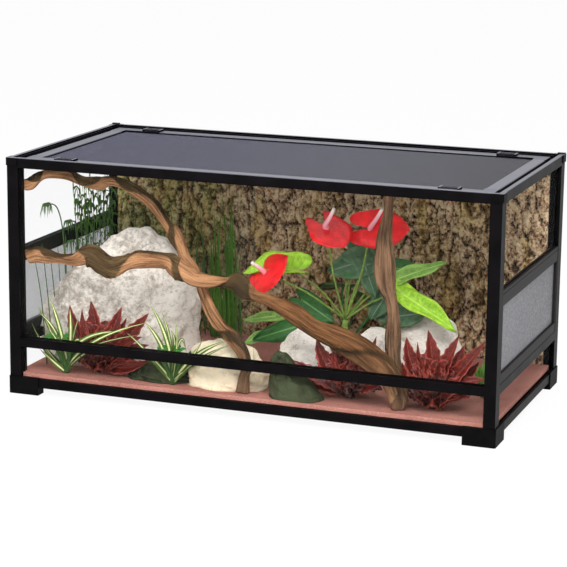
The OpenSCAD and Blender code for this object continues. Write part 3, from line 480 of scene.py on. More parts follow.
def sweep(bm, rings):
    """A closed skin over rings of equally many places: a circle, extruded from ring to ring, ends filled."""
    turn = bm.verts.layers.int.get("turn") or bm.verts.layers.int.new("turn")
    loop = bmesh.ops.create_circle(bm, segments=len(rings[0]), radius=1.0, cap_ends=False)["verts"]
    for k, vert in enumerate(loop):
        vert[turn] = k
        vert.co = rings[0][k]
    start = edges = list(dict.fromkeys(edge for vert in loop for edge in vert.link_edges))
    made = [list(loop)]
    for ring in rings[1:]:
        out = bmesh.ops.extrude_edge_only(bm, edges=edges)["geom"]
        edges = [item for item in out if isinstance(item, bmesh.types.BMEdge)]
        made.append([item for item in out if isinstance(item, bmesh.types.BMVert)])
        for vert in made[-1]:
            vert.co = ring[vert[turn]]
    for rim in (start, edges):
        bmesh.ops.contextual_create(bm, geom=rim)
    return made


def stem(bm, points, radius, tip, index, sides=6):
    """A round stalk through points in millimetres, tapering from radius to tip."""
    path = [Vector(p) / 1000 for p in along_path(points, STEM_STEPS)]
    last = len(path) - 1
    turns = [2 * math.pi * k / sides for k in range(sides)]
    rings = []
    for i, place in enumerate(path):
        ahead = (path[min(i + 1, last)] - path[max(i - 1, 0)]).normalized()
        across = ahead.cross(ASKEW).normalized()
        deep = across.cross(ahead)
        r = (radius + (tip - radius) * i / last) / 1000
        rings.append([place + (across * math.cos(w) + deep * math.sin(w)) * r for w in turns])
    before = set(bm.faces)
    sweep(bm, rings)
    uv = bm.loops.layers.uv.verify()
    low = min(p.z for p in path)
    high = max(max(p.z for p in path), low + 0.001)
    for face in set(bm.faces) - before:
        face.material_index = index
        face.smooth = True
        for loop in face.loops:
            loop[uv].uv = (0.3, (loop.vert.co.z - low) / (high - low))


def flat_leaf(bm, across, cells, index):
    """A flat grid to bend into a leaf: places with their shares across, -1 to 1, and along, 0 to 1."""
    verts = bmesh.ops.create_grid(bm, x_segments=across, y_segments=cells, size=1.0)["verts"]
    uv = bm.loops.layers.uv.verify()
    for face in {face for vert in verts for face in vert.link_faces}:
        face.material_index = index
        face.smooth = True
        for loop in face.loops:
            loop[uv].uv = (0.5 + 0.5 * loop.vert.co.x, 0.5 + 0.5 * loop.vert.co.y)
    return [(vert, vert.co.x, 0.5 + 0.5 * vert.co.y) for vert in verts]


def leaf(bm, base, middle, tip, width, outline, facing, fold=0.25, cells=12, across=2, teeth=0.0, index=0):
    """One leaf on an arc from base through middle to tip, in mm; its upper side looks along facing."""
    start, end, facing = Vector(base) / 1000, Vector(tip) / 1000, Vector(facing)
    pull = Vector(middle) / 500 - (start + end) / 2
    for vert, side, t in flat_leaf(bm, across, cells, index):
        place = start * (1 - t) ** 2 + pull * 2 * t * (1 - t) + end * t * t
        ahead = ((pull - start) * (1 - t) + (end - pull) * t).normalized()
        up = (facing - ahead * ahead.dot(facing)).normalized()
        half = 0.0005 * width * outline(t)
        if teeth and abs(side) > 0.9:
            half *= 1 + teeth * (1 if round(t * cells) % 2 else -1) * min(1.0, 6 * (1 - t), 6 * t)
        vert.co = place + ahead.cross(up) * side * half + up * abs(side) * half * fold


def narrow(t):
    """Outline of a grass-like leaf."""
    return min(1.0, 0.5 + 2.0 * t) * max(0.03, 1 - t ** 3.0)


def lance(t):
    """Outline of a broad pointed leaf."""
    return max(0.02, math.sin(math.pi * min(0.16 + 0.84 * t, 1.0) ** 0.85) ** 0.9)


def heart(bm, base, tip, width, facing, fold, lobes, sag, wave, seed, index=0, notch=0.55):
    """A heart-shaped blade from its stalk at base to its tip, in mm; its upper side looks along facing."""
    base, tip, width = Vector(base) / 1000, Vector(tip) / 1000, width / 1000
    length = (tip - base).length
    ahead = (tip - base).normalized()
    side_way = ahead.cross(Vector(facing)).normalized()
    up = side_way.cross(ahead).normalized()
    for vert, u, t in flat_leaf(bm, 12, 16, index):
        back = max(0.0, 1 - ((abs(u) - 0.5) / 0.5) ** 2) ** notch * lobes
        y = length * (t * (1 + back) - back)
        x = 0.5 * width * u * max(0.0, 1 - t ** 1.7) ** 0.85 * (0.86 + 0.5 * t)
        lift = fold * abs(x) - sag * length * t * t
        lift += wave * length * 0.05 * math.sin(9 * t + 3 * u + seed) * abs(u) - 0.35 * x * x / width
        vert.co = base + ahead * y + side_way * x + up * lift


# ---------- settings ----------


def measure(name, description, default, low=0.0):
    """A length that the panel can change."""
    return FloatProperty(name=name, description=description, default=default, min=low, unit="LENGTH")


class TerrariumSizes(bpy.types.PropertyGroup):
    """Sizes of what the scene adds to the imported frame"""

    lid_pitch: measure("Lid screen pitch", "Distance between the wires of the lid screen", 0.0021, 0.001)
    lid_wire: measure("Lid screen wire", "Thickness of the wires of the lid screen", 0.0011, 0.0002)
    vent_pitch: measure("Vent screen pitch", "Distance between the wires of the side vents", 0.0022, 0.001)
    vent_wire: measure("Vent screen wire", "Thickness of the wires of the side vents", 0.0006, 0.0002)
    bark_depth: measure("Bark depth", "Depth of the relief of the bark board", 0.0125, 0.001)
    bark_cells: IntProperty(name="Bark cells", description="Cells of the bark relief along the board",
                            default=460, min=40)
    sand_wave: measure("Sand ripples", "Height of the ripples in the sand", 0.0022)
    leaf_thick: measure("Leaf thickness", "Thickness of every leaf", 0.0005, 0.0001)
    stone_chip: measure("Stone roughness", "Depth of the chips in the rocks", 0.0045)


def swatch(name, description, code):
    """A colour that the panel can change."""
    return FloatVectorProperty(name=name, description=description, subtype="COLOR", size=4, min=0.0, max=1.0,
                               default=linear(code))


class TerrariumColours(bpy.types.PropertyGroup):
    """Colours of the finishes"""

    frame_black: swatch("Frame", "Powder coating of the extruded frame", "0e0c0e")
    corner_black: swatch("Corners", "Moulded feet, corners and latches", "080708")
    vent_grey: swatch("Vent frames", "Extruded plastic round the vent screens", "2a2627")
    lid_wire: swatch("Lid screen", "Enamel of the lid's wire screen", "20202f")
    vent_wire: swatch("Vent screen", "Bare wire of the side vents", "86868a")
    glass: swatch("Glass", "Film colour of the panes", "3f5048")
    glass_edge: swatch("Glass edges", "Polished edges of the doors", "3f5a4e")
    bark_dark: swatch("Bark cracks", "Cracks of the bark board", "755c49")
    bark_mid: swatch("Bark", "Plates of the bark board", "bb9c7a")
    bark_tan: swatch("Bark crowns", "Worn crowns of the bark board", "dabd98")
    bark_algae: swatch("Algae", "Green growth on the left of the bark board", "9ea05c")
    sand: swatch("Sand", "Desert sand", "b67a6d")
    wood_light: swatch("Wood crowns", "Worn crowns of the driftwood", "b88861")
    wood_mid: swatch("Wood", "Sides of the driftwood", "8f6545")
    wood_dark: swatch("Wood hollows", "Hollows of the driftwood", "4c3321")
    rock_pale: swatch("Limestone", "Face of the pale rocks", "f8f1e6")
    rock_grey: swatch("Limestone pits", "Pits of the pale rocks", "b3a89c")
    leaf_green: swatch("Leaf margins", "Margins of the striped leaves", "54702e")
    leaf_cream: swatch("Leaf stripes", "Middle of the striped leaves", "dcdfa2")
    rosette_red: swatch("Rosettes", "Upper leaves of the red rosettes", "611811")
    rosette_pink: swatch("Rosette skirts", "Lower leaves of the red rosettes", "6c3c37")
    flower_red: swatch("Flowers", "Bracts of the flamingo flower", "ff2228")
    lime: swatch("Young leaves", "Young leaves of the flamingo flower", "9fd03c")
    deep_green: swatch("Old leaves", "Old leaves of the flamingo flower", "35632f")


# ---------- operators ----------


class TERRARIUM_OT_stage(bpy.types.Operator):
    """Set up the floor, the lamps, the sky and the camera"""

    bl_idname = "terrarium.stage"
    bl_label = "Stage"

    def execute(self, context):
        scene = context.scene
        scene.view_settings.view_transform = "Standard"
        # a long lens, a little above the lid and to the right of the doors
        yaw, pitch, roll = (math.radians(a) for a in (-20.132, 12.696, 0.674))
        forward = Vector((math.sin(yaw) * math.cos(pitch), math.cos(yaw) * math.cos(pitch), -math.sin(pitch)))
        level = Vector((math.cos(yaw), -math.sin(yaw), 0))
        right = level * math.cos(roll) + level.cross(forward) * math.sin(roll)
        turn = Matrix((right, right.cross(forward), -forward)).transposed().to_4x4()
        scene.camera = camera = add_object("camera", bpy.data.cameras.new("camera"))
        camera.matrix_world = Matrix.Translation((1.27289, -3.49861, 1.03358)) @ turn
        camera.data.sensor_width = 36.0
        camera.data.lens = 133.54
        camera.data.clip_end = 60.0

        # Studio paper: white where it is looked at, mirrored or seen through, yet it keeps a soft shadow
        paper, add = start_material("studio_paper")
        rays = add("LightPath").outputs
        seen = add("Math", {0: rays["Is Camera Ray"], 1: rays["Is Glossy Ray"]}, operation="MAXIMUM")
        shown = add("Math", {0: seen, 1: rays["Is Transmission Ray"]}, operation="MAXIMUM")
        share = add("Math", {0: shown, 1: 0.93}, operation="MULTIPLY")
        matt = add("BsdfDiffuse", {"Color": "f4f4f4"})
        glow = add("Emission", {"Color": "ffffff", "Strength": 1.0})
        add("OutputMaterial", {"Surface": add("MixShader", {0: share, 1: matt, 2: glow})})
        bm = bmesh.new()
        bmesh.ops.create_grid(bm, x_segments=2, y_segments=2, size=FLOOR_HALF)
        skin("floor", bm, [paper], smooth=False)

        scene.world = bpy.data.worlds.new("studio")
        scene.world.use_nodes = True
        scene.world.node_tree.nodes.clear()
        add = partial(add_node, scene.world.node_tree)
        rays = add("LightPath").outputs
        seen = add("Math", {0: rays["Is Camera Ray"], 1: rays["Is Transmission Ray"]}, operation="MAXIMUM")
        soft = add("Background", {"Color": "ffffff", "Strength": 0.75})
        white = add("Background", {"Color": "ffffff", "Strength": 1.0})
        add("OutputWorld", {"Surface": add("MixShader", {0: seen, 1: soft, 2: white})})

        for name, place, size, power in (
            ("key_lamp", (0.9, -2.1, 2.2), 1.2, 76.0),
            ("fill_lamp", (-1.3, -2.7, 1.5), 1.6, 30.0),
            ("top_lamp", (-0.2, 0.1, 2.2), 1.2, 30.0),
        ):
            lamp = add_object(name, bpy.data.lights.new(name, "AREA"))
            lamp.data.size = size
            lamp.data.energy = power
            lamp.location = place
            lamp.rotation_euler = (UP * 0.2 - lamp.location).to_track_quat("-Z", "Y").to_euler()
        return {"FINISHED"}


class TERRARIUM_OT_frame(bpy.types.Operator):
    """Finish the extruded frame, the vent frames and the moulded corners"""

    bl_idname = "terrarium.frame"
    bl_label = "Frame finishes"

    def execute(self, context):
        rails = "post_", "bottom_rail_", "mid_rail_", "door_track"
        for finish, *starts in (
            (moulded_black("black_abs_with_painted_top_sheen", True), "top_corner_", "lid_corner_", "latch_"),
            (moulded_black("moulded_black_abs", False), "foot_"),
            (powder_coat("black_powder_coat_with_painted_top_sheen", True), "top_rail_", "lid_bar_"),
            (powder_coat("satin_black_powder_coat", False), *rails),
            (vent_plastic(), "vent_frame_"),
        ):
            paint(finish, [name for name in NODES if name.startswith(tuple(starts))])
        return {"FINISHED"}


class TERRARIUM_OT_glass(bpy.types.Operator):
    """Glaze the tank and hang the sliding doors"""

    bl_idname = "terrarium.glass"
    bl_label = "Glass"

    def execute(self, context):
        glass, edge = float_glass(), glass_edge()
        paint(glass, [name for name in NODES if name.endswith("_pane") or name.startswith("side_")])
        for name in ("door_left", "door_right"):
            low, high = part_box(name)
            bm = bmesh.new()
            bmesh.ops.create_cube(bm, size=1.0)
            bmesh.ops.scale(bm, vec=high - low, verts=bm.verts)
            bmesh.ops.translate(bm, vec=(high + low) / 2, verts=bm.verts)
            bmesh.ops.bevel(bm, geom=bm.edges[:], offset=GROUND_EDGE, offset_type="OFFSET", affect="EDGES",
                            segments=1, profile=0.5, material=-1)
            bm.normal_update()
            for face in bm.faces:
                face.material_index = 0 if abs(face.normal.y) > 0.9 else 1
            finish_piece(name + "_sheet", bm, [glass, edge], name, body=name, smooth=False)
        return {"FINISHED"}


def weave(bm, low, high, normal, pitch, thick):
    """Wires both ways across the box from low to high; normal is the axis that the screen faces."""
    centre = (low + high) / 2
    axes = [k for k in range(3) if k != normal]
    for order, (run, step) in enumerate((axes, axes[::-1])):
        count = round((high[step] - low[step]) / pitch)
        for i in range(count):
            place = centre.copy()
            place[step] = low[step] + (i + 0.5) * (high[step] - low[step]) / count
            place[normal] += (0.45 - 0.9 * order) * thick * 0.5
            bmesh.ops.create_cone(bm, cap_ends=False, segments=5, radius1=thick / 2, radius2=thick / 2,
                                  depth=high[run] - low[run], matrix=Matrix.Translation(place) @ ALONG[run])


class TERRARIUM_OT_screens(bpy.types.Operator):
    """Weave the wire screens of the lid and the side vents"""

    bl_idname = "terrarium.screens"
    bl_label = "Wire screens"

    def execute(self, context):
        size, tint = sizes(), colours()
        # the lid screen's colour has painted light, lighter on the left than on the right
        dark = wire("enamelled_steel_wire", tint.lid_wire, 0.15, 0.65)
        bright = wire("bare_aluminium_wire", tint.vent_wire, 0.5)
        for name, stands_for, body, normal, pitch, thick, finish in (
            ("lid_screen", "lid_mesh", "lid", 2, size.lid_pitch, size.lid_wire, dark),
            ("vent_screen_left", "vent_mesh_left", "tank", 0, size.vent_pitch, size.vent_wire, bright),
            ("vent_screen_right", "vent_mesh_right", "tank", 0, size.vent_pitch, size.vent_wire, bright),
        ):
            bm = bmesh.new()
            weave(bm, *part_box(stands_for), normal, pitch, thick)
            finish_piece(name, bm, [finish], stands_for, body)
        return {"FINISHED"}


def bark_relief(x, z):
    """Height of the bark from 0 in a crack to 1 on a crown, at a place on the board in metres."""
    warp = noise.noise(Vector((x * 40, 3.1, z * 30))) * 0.009 + noise.noise(Vector((x * 12, 8.1,
                                                                                    z * 9))) * 0.012
    furrow = abs(noise.noise(Vector(((x + warp) * 44, 1.7, z * 15 + x * 5))))
    plates = noise.noise(Vector(((x + warp) * 85, 5.2, (z + warp) * 48)))
    splits = abs(noise.noise(Vector(((x - warp) * 95, 7.9, (z + warp) * 75))))
    chips = noise.fractal(Vector((x * 230, 9.2, z * 170)), 0.7, 2.0, 3)
    deep = max(0.0, 1 - furrow / 0.10) * 0.55 + max(0.0, 1 - splits / 0.07) * 0.35
    return max(0.0, min(1.0, 0.6 + 0.6 * plates + 0.45 * chips - deep))


class TERRARIUM_OT_bark(bpy.types.Operator):
    """Press the bark board behind the planting"""

    bl_idname = "terrarium.bark"
    bl_label = "Bark board"

    def execute(self, context):
        size = sizes()
        wide = BOARD_HIGH.x - BOARD_LOW.x
        high = BOARD_HIGH.z - BOARD_LOW.z
        columns = size.bark_cells
        bm = bmesh.new()
        bmesh.ops.create_grid(bm, x_segments=columns, y_segments=round(columns * high / wide), size=1.0)
        rise = bm.verts.layers.float.new("rise")
        back = BOARD_HIGH.y
        for vert in bm.verts:
            x = (BOARD_LOW.x + BOARD_HIGH.x + vert.co.x * wide) / 2
            z = (BOARD_LOW.z + BOARD_HIGH.z + vert.co.y * high) / 2
            vert[rise] = bark_relief(x, z)
            edge = min(1.0, 12 * (1 - abs(vert.co.x)), 9 * (1 - abs(vert.co.y)))
            vert.co = (x, back - 0.0005 - size.bark_depth * (0.35 + 0.65 * edge) * vert[rise], z)
        rim = [edge for edge in bm.edges if edge.is_boundary]
        out = bmesh.ops.extrude_edge_only(bm, edges=rim)["geom"]
        for item in out:
            if isinstance(item, bmesh.types.BMVert):
                item.co.y = back
                item[rise] = 0.5
        bmesh.ops.contextual_create(bm, geom=[item for item in out if isinstance(item, bmesh.types.BMEdge)])
        bmesh.ops.recalc_face_normals(bm, faces=bm.faces)
        finish_piece("bark_board", bm, [cork_bark()], "background_board")
        return {"FINISHED"}


class TERRARIUM_OT_sand(bpy.types.Operator):
    """Rake the desert sand over the floor pane"""

    bl_idname = "terrarium.sand"
    bl_label = "Sand"

    def execute(self, context):
        bm = cad_copy("sand_bed")
        bmesh.ops.dissolve_limit(bm, angle_limit=0.01, verts=bm.verts, edges=bm.edges)
        low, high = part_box("sand_bed")
        # a grid of cuts, so that the top can carry ripples
        for axis in (0, 1):
            count = round((high[axis] - low[axis]) / SAND_CELL)
            for i in range(1, count):
                cut, way = Vector((0, 0, 0)), Vector((0, 0, 0))
                cut[axis], way[axis] = low[axis] + (high[axis] - low[axis]) * i / count, 1.0
                bmesh.ops.bisect_plane(bm, geom=bm.verts[:] + bm.edges[:] + bm.faces[:], plane_co=cut,
                                       plane_no=way)
        for vert in bm.verts:
            if vert.co.z > high.z - 1e-5 and all(face.normal.z >= 0.5 for face in vert.link_faces):
                where = Vector((vert.co.x * 22, vert.co.y * 30, 0.3))
                vert.co.z = high.z - sizes().sand_wave * (0.5 + 0.5 * noise.fractal(where, 0.9, 2.0, 3))
        finish_piece("sand", bm, [red_sand()], "sand_bed", smooth=False)
        return {"FINISHED"}


# Driftwood as [share x, share y, share z, half height mm, half depth mm, side of the trough, spread].
# The trough is the hollow along the wood, painted dark as shade. Its side is 0 for below or left, 180 for
# above or right and 270 for the front, and spread is half of its width, both in degrees.
BRANCH = (
    [-1.008, 0.042, 0.907, 10, 8, 180, 20], [-0.984, 0.050, 0.913, 11, 8, 200, 35],
    [-0.955, 0.065, 0.943, 9, 8, 260, 60], [-0.925, 0.082, 0.958, 8, 8, 190, 14],
    [-0.875, 0.105, 0.958, 8, 8, 180, 14], [-0.840, 0.131, 0.950, 9, 8, 190, 35],
    [-0.790, 0.160, 0.922, 9, 8, 250, 60], [-0.733, 0.191, 0.910, 12, 8, 200, 35],
    [-0.690, 0.212, 0.922, 9, 8, 180, 30], [-0.635, 0.242, 0.903, 9, 9, 230, 75],
    [-0.580, 0.265, 0.862, 11, 9, 200, 50], [-0.521, 0.285, 0.805, 11, 9, 185, 45],
    [-0.467, 0.298, 0.712, 8, 9, 190, 35], [-0.429, 0.293, 0.665, 14, 9, 300, 50],
    [-0.370, 0.252, 0.573, 10, 9, 350, 50], [-0.327, 0.217, 0.541, 10, 9, 310, 60],
    [-0.283, 0.185, 0.487, 11, 9, 340, 55], [-0.244, 0.172, 0.400, 11, 9, 350, 45],
    [-0.195, 0.125, 0.338, 12, 9, 370, 50], [-0.147, 0.095, 0.290, 12, 9, 350, 45],
    [-0.091, 0.075, 0.248, 13, 9, 240, 50], [-0.041, 0.057, 0.191, 11, 9, 190, 45],
    [-0.019, 0.046, 0.134, 9, 9, 200, 45], [-0.024, 0.044, 0.081, 9, 9, 260, 60],
    [-0.030, 0.044, 0, 12, 11, 270, 60],
)
ROOT = (
    [-0.998, 0.037, 0.556, 12, 7, 170, 40], [-0.976, 0.043, 0.567, 15, 7, 180, 45],
    [-0.949, 0.049, 0.578, 18, 8, 185, 60], [-0.908, 0.060, 0.570, 16, 8, 190, 85],
    [-0.866, 0.070, 0.560, 11, 8, 190, 75], [-0.800, 0.078, 0.555, 12, 8, 185, 35],
    [-0.755, 0.083, 0.580, 19, 8, 200, 60], [-0.720, 0.086, 0.574, 21, 8, 270, 105],
    [-0.670, 0.089, 0.538, 20, 8, 272, 100], [-0.625, 0.093, 0.531, 18, 8, 255, 80],
    [-0.570, 0.097, 0.558, 13, 8, 215, 45], [-0.514, 0.100, 0.583, 17, 8, 185, 45],
    [-0.450, 0.102, 0.590, 17, 8, 185, 58], [-0.382, 0.105, 0.583, 17, 8, 190, 50],
    [-0.345, 0.108, 0.550, 19, 8, 280, 34], [-0.300, 0.111, 0.522, 19, 9, 350, 50],
    [-0.252, 0.113, 0.500, 15, 9, 355, 45], [-0.180, 0.115, 0.500, 11, 9, 350, 40],
    [-0.125, 0.115, 0.503, 9, 9, 300, 50], [-0.085, 0.115, 0.504, 18, 9, 270, 110],
    [-0.048, 0.115, 0.474, 17, 9, 290, 80], [-0.005, 0.115, 0.450, 11, 9, 350, 50],
    [0.050, 0.113, 0.438, 11, 9, 360, 50], [0.120, 0.110, 0.407, 16, 9, 370, 55],
    [0.190, 0.107, 0.370, 18, 9, 370, 45], [0.253, 0.100, 0.329, 16, 9, 360, 36],
    [0.342, 0.090, 0.298, 21, 9, 340, 26], [0.431, 0.075, 0.265, 23, 9, 300, 16],
    [0.510, 0.062, 0.222, 23, 9, 230, 16], [0.580, 0.050, 0.165, 21, 10, 190, 30],
    [0.620, 0.043, 0.092, 19, 11, 200, 40], [0.627, 0.043, 0.035, 15, 11, 240, 60],
    [0.627, 0.045, 0, 10, 9, 250, 70],
)
TRUNK = (
    [0.506, 0.270, 0.985, 9, 8, 0, 30], [0.507, 0.267, 0.876, 8, 8, 0, 28],
    [0.500, 0.257, 0.784, 12, 9, 0, 32], [0.498, 0.252, 0.738, 14, 9, -10, 32],
    [0.500, 0.247, 0.692, 16, 10, -10, 28], [0.504, 0.240, 0.620, 19, 10, -5, 26],
    [0.511, 0.232, 0.554, 18, 10, 0, 32], [0.522, 0.227, 0.509, 15, 10, 0, 46],
    [0.537, 0.222, 0.474, 11, 9, 0, 40], [0.548, 0.217, 0.429, 10, 9, 0, 32],
    [0.553, 0.210, 0.350, 13, 10, -10, 34], [0.556, 0.201, 0.270, 15, 10, -10, 38],
    [0.564, 0.195, 0.190, 12, 10, -20, 42], [0.580, 0.205, 0.100, 12, 11, 0, 32],
    [0.590, 0.212, 0, 14, 11, 0, 30],
)


def limb(bm, knots, seed):
    """Grows driftwood over its knots, and marks its grain, its hollows, its seams and its painted shade."""
    path = along_path([[*spot(*place), wide / 1000, deep / 1000, trough, spread]
                       for *place, wide, deep, trough, spread in knots], LIMB_STEPS)
    last = len(path) - 1
    rings, marks, run = [], [], 0.0
    for i, (x, y, z, wide, deep, trough, spread) in enumerate(path):
        here = Vector((x, y, z))
        before, after = Vector(path[max(i - 1, 0)][:3]), Vector(path[min(i + 1, last)][:3])
        run += (here - before).length
        ahead = (after - before).normalized()
        across = Vector((0, 1, 0)).cross(ahead).normalized()
        inward = ahead.cross(across)
        ring, mark = [], []
        for k in range(LIMB_SIDES):
            w = 2 * math.pi * k / LIMB_SIDES
            ridge = noise.noise(heading(w) * 1.9 + UP * (run * 11 + seed))
            fine = noise.noise(heading(w) * 6 + UP * (run * 16 + seed + 40))
            groove = abs(noise.noise(heading(w) * 3.2 + UP * (run * 4 + seed + 80)))
            strand = max(0.0, 1 - groove / 0.09)
            off = abs((math.degrees(w) - trough + 14 * ridge + 180) % 360 - 180)
            inside = max(0.0, min(1.0, (spread - off) / 9 + 0.5))
            hollow = inside * max(0.0, 1 - (off / spread) ** 2)
            shallow = min(1.0, spread / 30)
            lip = 0.13 * math.exp(-(((off - spread) / 11) ** 2)) * shallow
            r = 1 + 0.15 * ridge + 0.05 * fine - 0.14 * strand - 0.42 * hollow * min(1.0, spread / 40) + lip
            place = here + across * wide * r * math.cos(w) + inward * deep * r * math.sin(w)
            if place.z < ROOM_FLOOR + WOOD_GAP:
                place.z = ROOM_FLOOR + (WOOD_GAP if i < last else 0)
            ring.append(place)
            # painted shadow line along the trough's edge, and painted shade down its middle
            line = math.exp(-(((off - spread + 2) / 5) ** 2)) * shallow
            grain = Vector((wide * math.cos(w), deep * math.sin(w), run))
            mark.append((grain, inside, max(strand, line, 0.5 * hollow)))
        rings.append(ring)
        marks.append(mark)
    layers = bm.verts.layers
    marked = layers.float_vector.new("grain"), layers.float.new("hollow"), layers.float.new("seam_and_shade")
    made = sweep(bm, rings)
    turn = layers.int["turn"]
    for verts, mark in zip(made, marks):
        for vert in verts:
            for layer, value in zip(marked, mark[vert[turn]]):
                vert[layer] = value


class TERRARIUM_OT_driftwood(bpy.types.Operator):
    """Grow the branch, the twisted root and the upright trunk"""

    bl_idname = "terrarium.driftwood"
    bl_label = "Driftwood"

    def execute(self, context):
        tint = colours()
        tan = driftwood("sand_blasted_root_wood", tint.wood_light, tint.wood_mid, tint.wood_dark, 1.0)
        grey = driftwood("weathered_grey_wood", "86674e", "6a4f3a", "3e2b1e", 0.0)
        for name, finish, seed, knots in (
            ("climbing_branch", tan, 3.0, BRANCH),
            ("twisted_root", tan, 17.0, ROOT),
            ("upright_trunk", grey, 31.0, TRUNK),
        ):
            bm = bmesh.new()
            limb(bm, knots, seed)
            bmesh.ops.recalc_face_normals(bm, faces=bm.faces)
            finish_piece(name + "_wood", bm, [finish], name)
        return {"FINISHED"}


# Stones as place, half width, half depth, material, stretch of width and of height, slope of the right side
STONES = (
    (spot(-0.148, 0.175, 0), 0.078, 0.035, 1, 1.0, 1.06, 0),
    (spot(0.19, 0.076, 0), 0.046, 0.024, 2, 1.05, 1.0, 0.5),
    (spot(-0.42, 0.14, 0), 0.064, 0.022, 2, 1.0, 1.0, 0),
    (spot(0.186, 0.29, 0), 0.056, 0.025, 0, 1.12, 1.12, 0),
    (spot(0.42, 0.5, 0), 0.046, 0.028, 0, 1.45, 1.0, 0),
    (spot(0.56, 0.62, 0), 0.074, 0.034, 0, 1.05, 1.1, 0),
)


def chip(bm, depth, seed):
    """Subdivides and chips the skin of a rock."""
    bmesh.ops.recalc_face_normals(bm, faces=bm.faces)
    for _ in range(3):
        bmesh.ops.subdivide_edges(bm, edges=bm.edges[:], cuts=1, smooth=0.55, use_grid_fill=True)
        bmesh.ops.triangulate(bm, faces=bm.faces[:])
    bm.normal_update()
    for vert, way in [(vert, vert.normal.copy()) for vert in bm.verts]:
        at = vert.co + Vector((seed, 0, 0))
        facets = noise.voronoi(at * 22)[0]
        d = 1.5 * (facets[1] - facets[0]) + noise.fractal(at * 40, 0.8, 2.0, 4) * 0.6 - 0.7
        if vert.co.z > ROOM_FLOOR + 0.001:
            vert.co += way * depth * d
            vert.co.z = max(vert.co.z, ROOM_FLOOR + ROCK_GAP)


class TERRARIUM_OT_rocks(bpy.types.Operator):
    """Lay the limestone boulder and the smaller stones"""

    bl_idname = "terrarium.rocks"
    bl_label = "Rocks"

    def execute(self, context):
        tint, size = colours(), sizes()
        lime = stone("weathered_limestone", tint.rock_pale, tint.rock_grey, 130.0, 0.5)
        beige = stone("beige_sandstone", "f2e4c6", "c4ad84", 90.0, 0.25)
        green = stone("mossy_slate", "424832", "1f231a", 60.0, 0.1)
        bm = cad_copy("large_rock")
        # a shoulder on the left
        for vert in bm.verts:
            high = (vert.co.z - ROOM_FLOOR) / 0.246
            left = max(0.0, -0.28 - vert.co.x) / 0.12
            vert.co.x -= 0.030 * left * math.sin(math.pi * min(1.0, high * 1.1))
        chip(bm, size.stone_chip * 1.5, 0.0)
        finish_piece("limestone_boulder", bm, [lime], "large_rock")

        def nearest(at):
            return min(STONES, key=lambda k: ((at.x - k[0].x) / k[1]) ** 2 + ((at.y - k[0].y) / k[2]) ** 2)

        bm = cad_copy("small_rocks")
        chip(bm, size.stone_chip, 3.0)
        for face in bm.faces:
            face.material_index = nearest(face.calc_center_median())[3]
        for vert in bm.verts:
            place, half, _, number, wider, higher, slope = nearest(vert.co)
            share = min(1.0, (vert.co.z - ROOM_FLOOR) / 0.08)
            vert.co.x = place.x - half + (vert.co.x - place.x + half) * (1 - slope * share)
            vert.co.x = place.x + (vert.co.x - place.x) * wider
            if number and vert.co.y < place.y:
                vert.co.y = max(SAND_FRONT + 0.002, place.y + (vert.co.y - place.y) * 1.8)
            vert.co.z = ROOM_FLOOR + (vert.co.z - ROOM_FLOOR) * higher
        finish_piece("small_stones", bm, [lime, beige, green], "small_rocks")
        return {"FINISHED"}


# Spider plants as place, middle and tip of each leaf in millimetres, and place of the bunch of small leaves
SPIDER_PLANTS = (
    (spot(-0.828, 0.052, 0), (
        ((-365, -191, 113), (-384, -194, 172)), ((-377, -182, 104), (-419, -174, 141)),
        ((-402, -184, 83), (-428, -180, 121)), ((-346, -190, 109), (-346, -192, 157)),
        ((-299, -192, 101), (-194, -196, 147)), ((-324, -185, 82), (-215, -182, 120)),
        ((-398, -178, 69), (-426, -166, 95)), ((-379, -192, 56), (-405, -196, 78)),
        ((-341, -184, 95), (-328, -178, 87)), ((-327, -180, 99), (-244, -170, 120)),
        ((-392, -177, 110), (-424, -164, 148)), ((-368, -192, 89), (-389, -198, 119)),
        ((-338, -177, 82), (-306, -164, 116)), ((-346, -181, 97), (-338, -172, 137)),
        ((-321, -175, 76), (-269, -160, 98))), (-372, -186, 92)),
    (spot(-0.346, 0.052, 0), (
        ((-158, -191, 118), (-189, -194, 181)), ((-153, -184, 108), (-172, -180, 164)),
        ((-138, -191, 111), (-141, -194, 157)), ((-172, -184, 106), (-207, -178, 143)),
        ((-136, -183, 115), (-127, -176, 96)), ((-119, -182, 80), (-94, -174, 124)),
        ((-104, -190, 94), (-43, -192, 128)), ((-99, -184, 86), (-42, -180, 118)),
        ((-188, -192, 86), (-232, -196, 125)), ((-130, -179, 73), (-112, -168, 101)),
        ((-185, -182, 73), (-223, -174, 89)), ((-171, -178, 96), (-195, -166, 125)),
        ((-148, -176, 98), (-162, -162, 129)), ((-121, -177, 68), (-77, -164, 98))), (-152, -184, 92)),
)


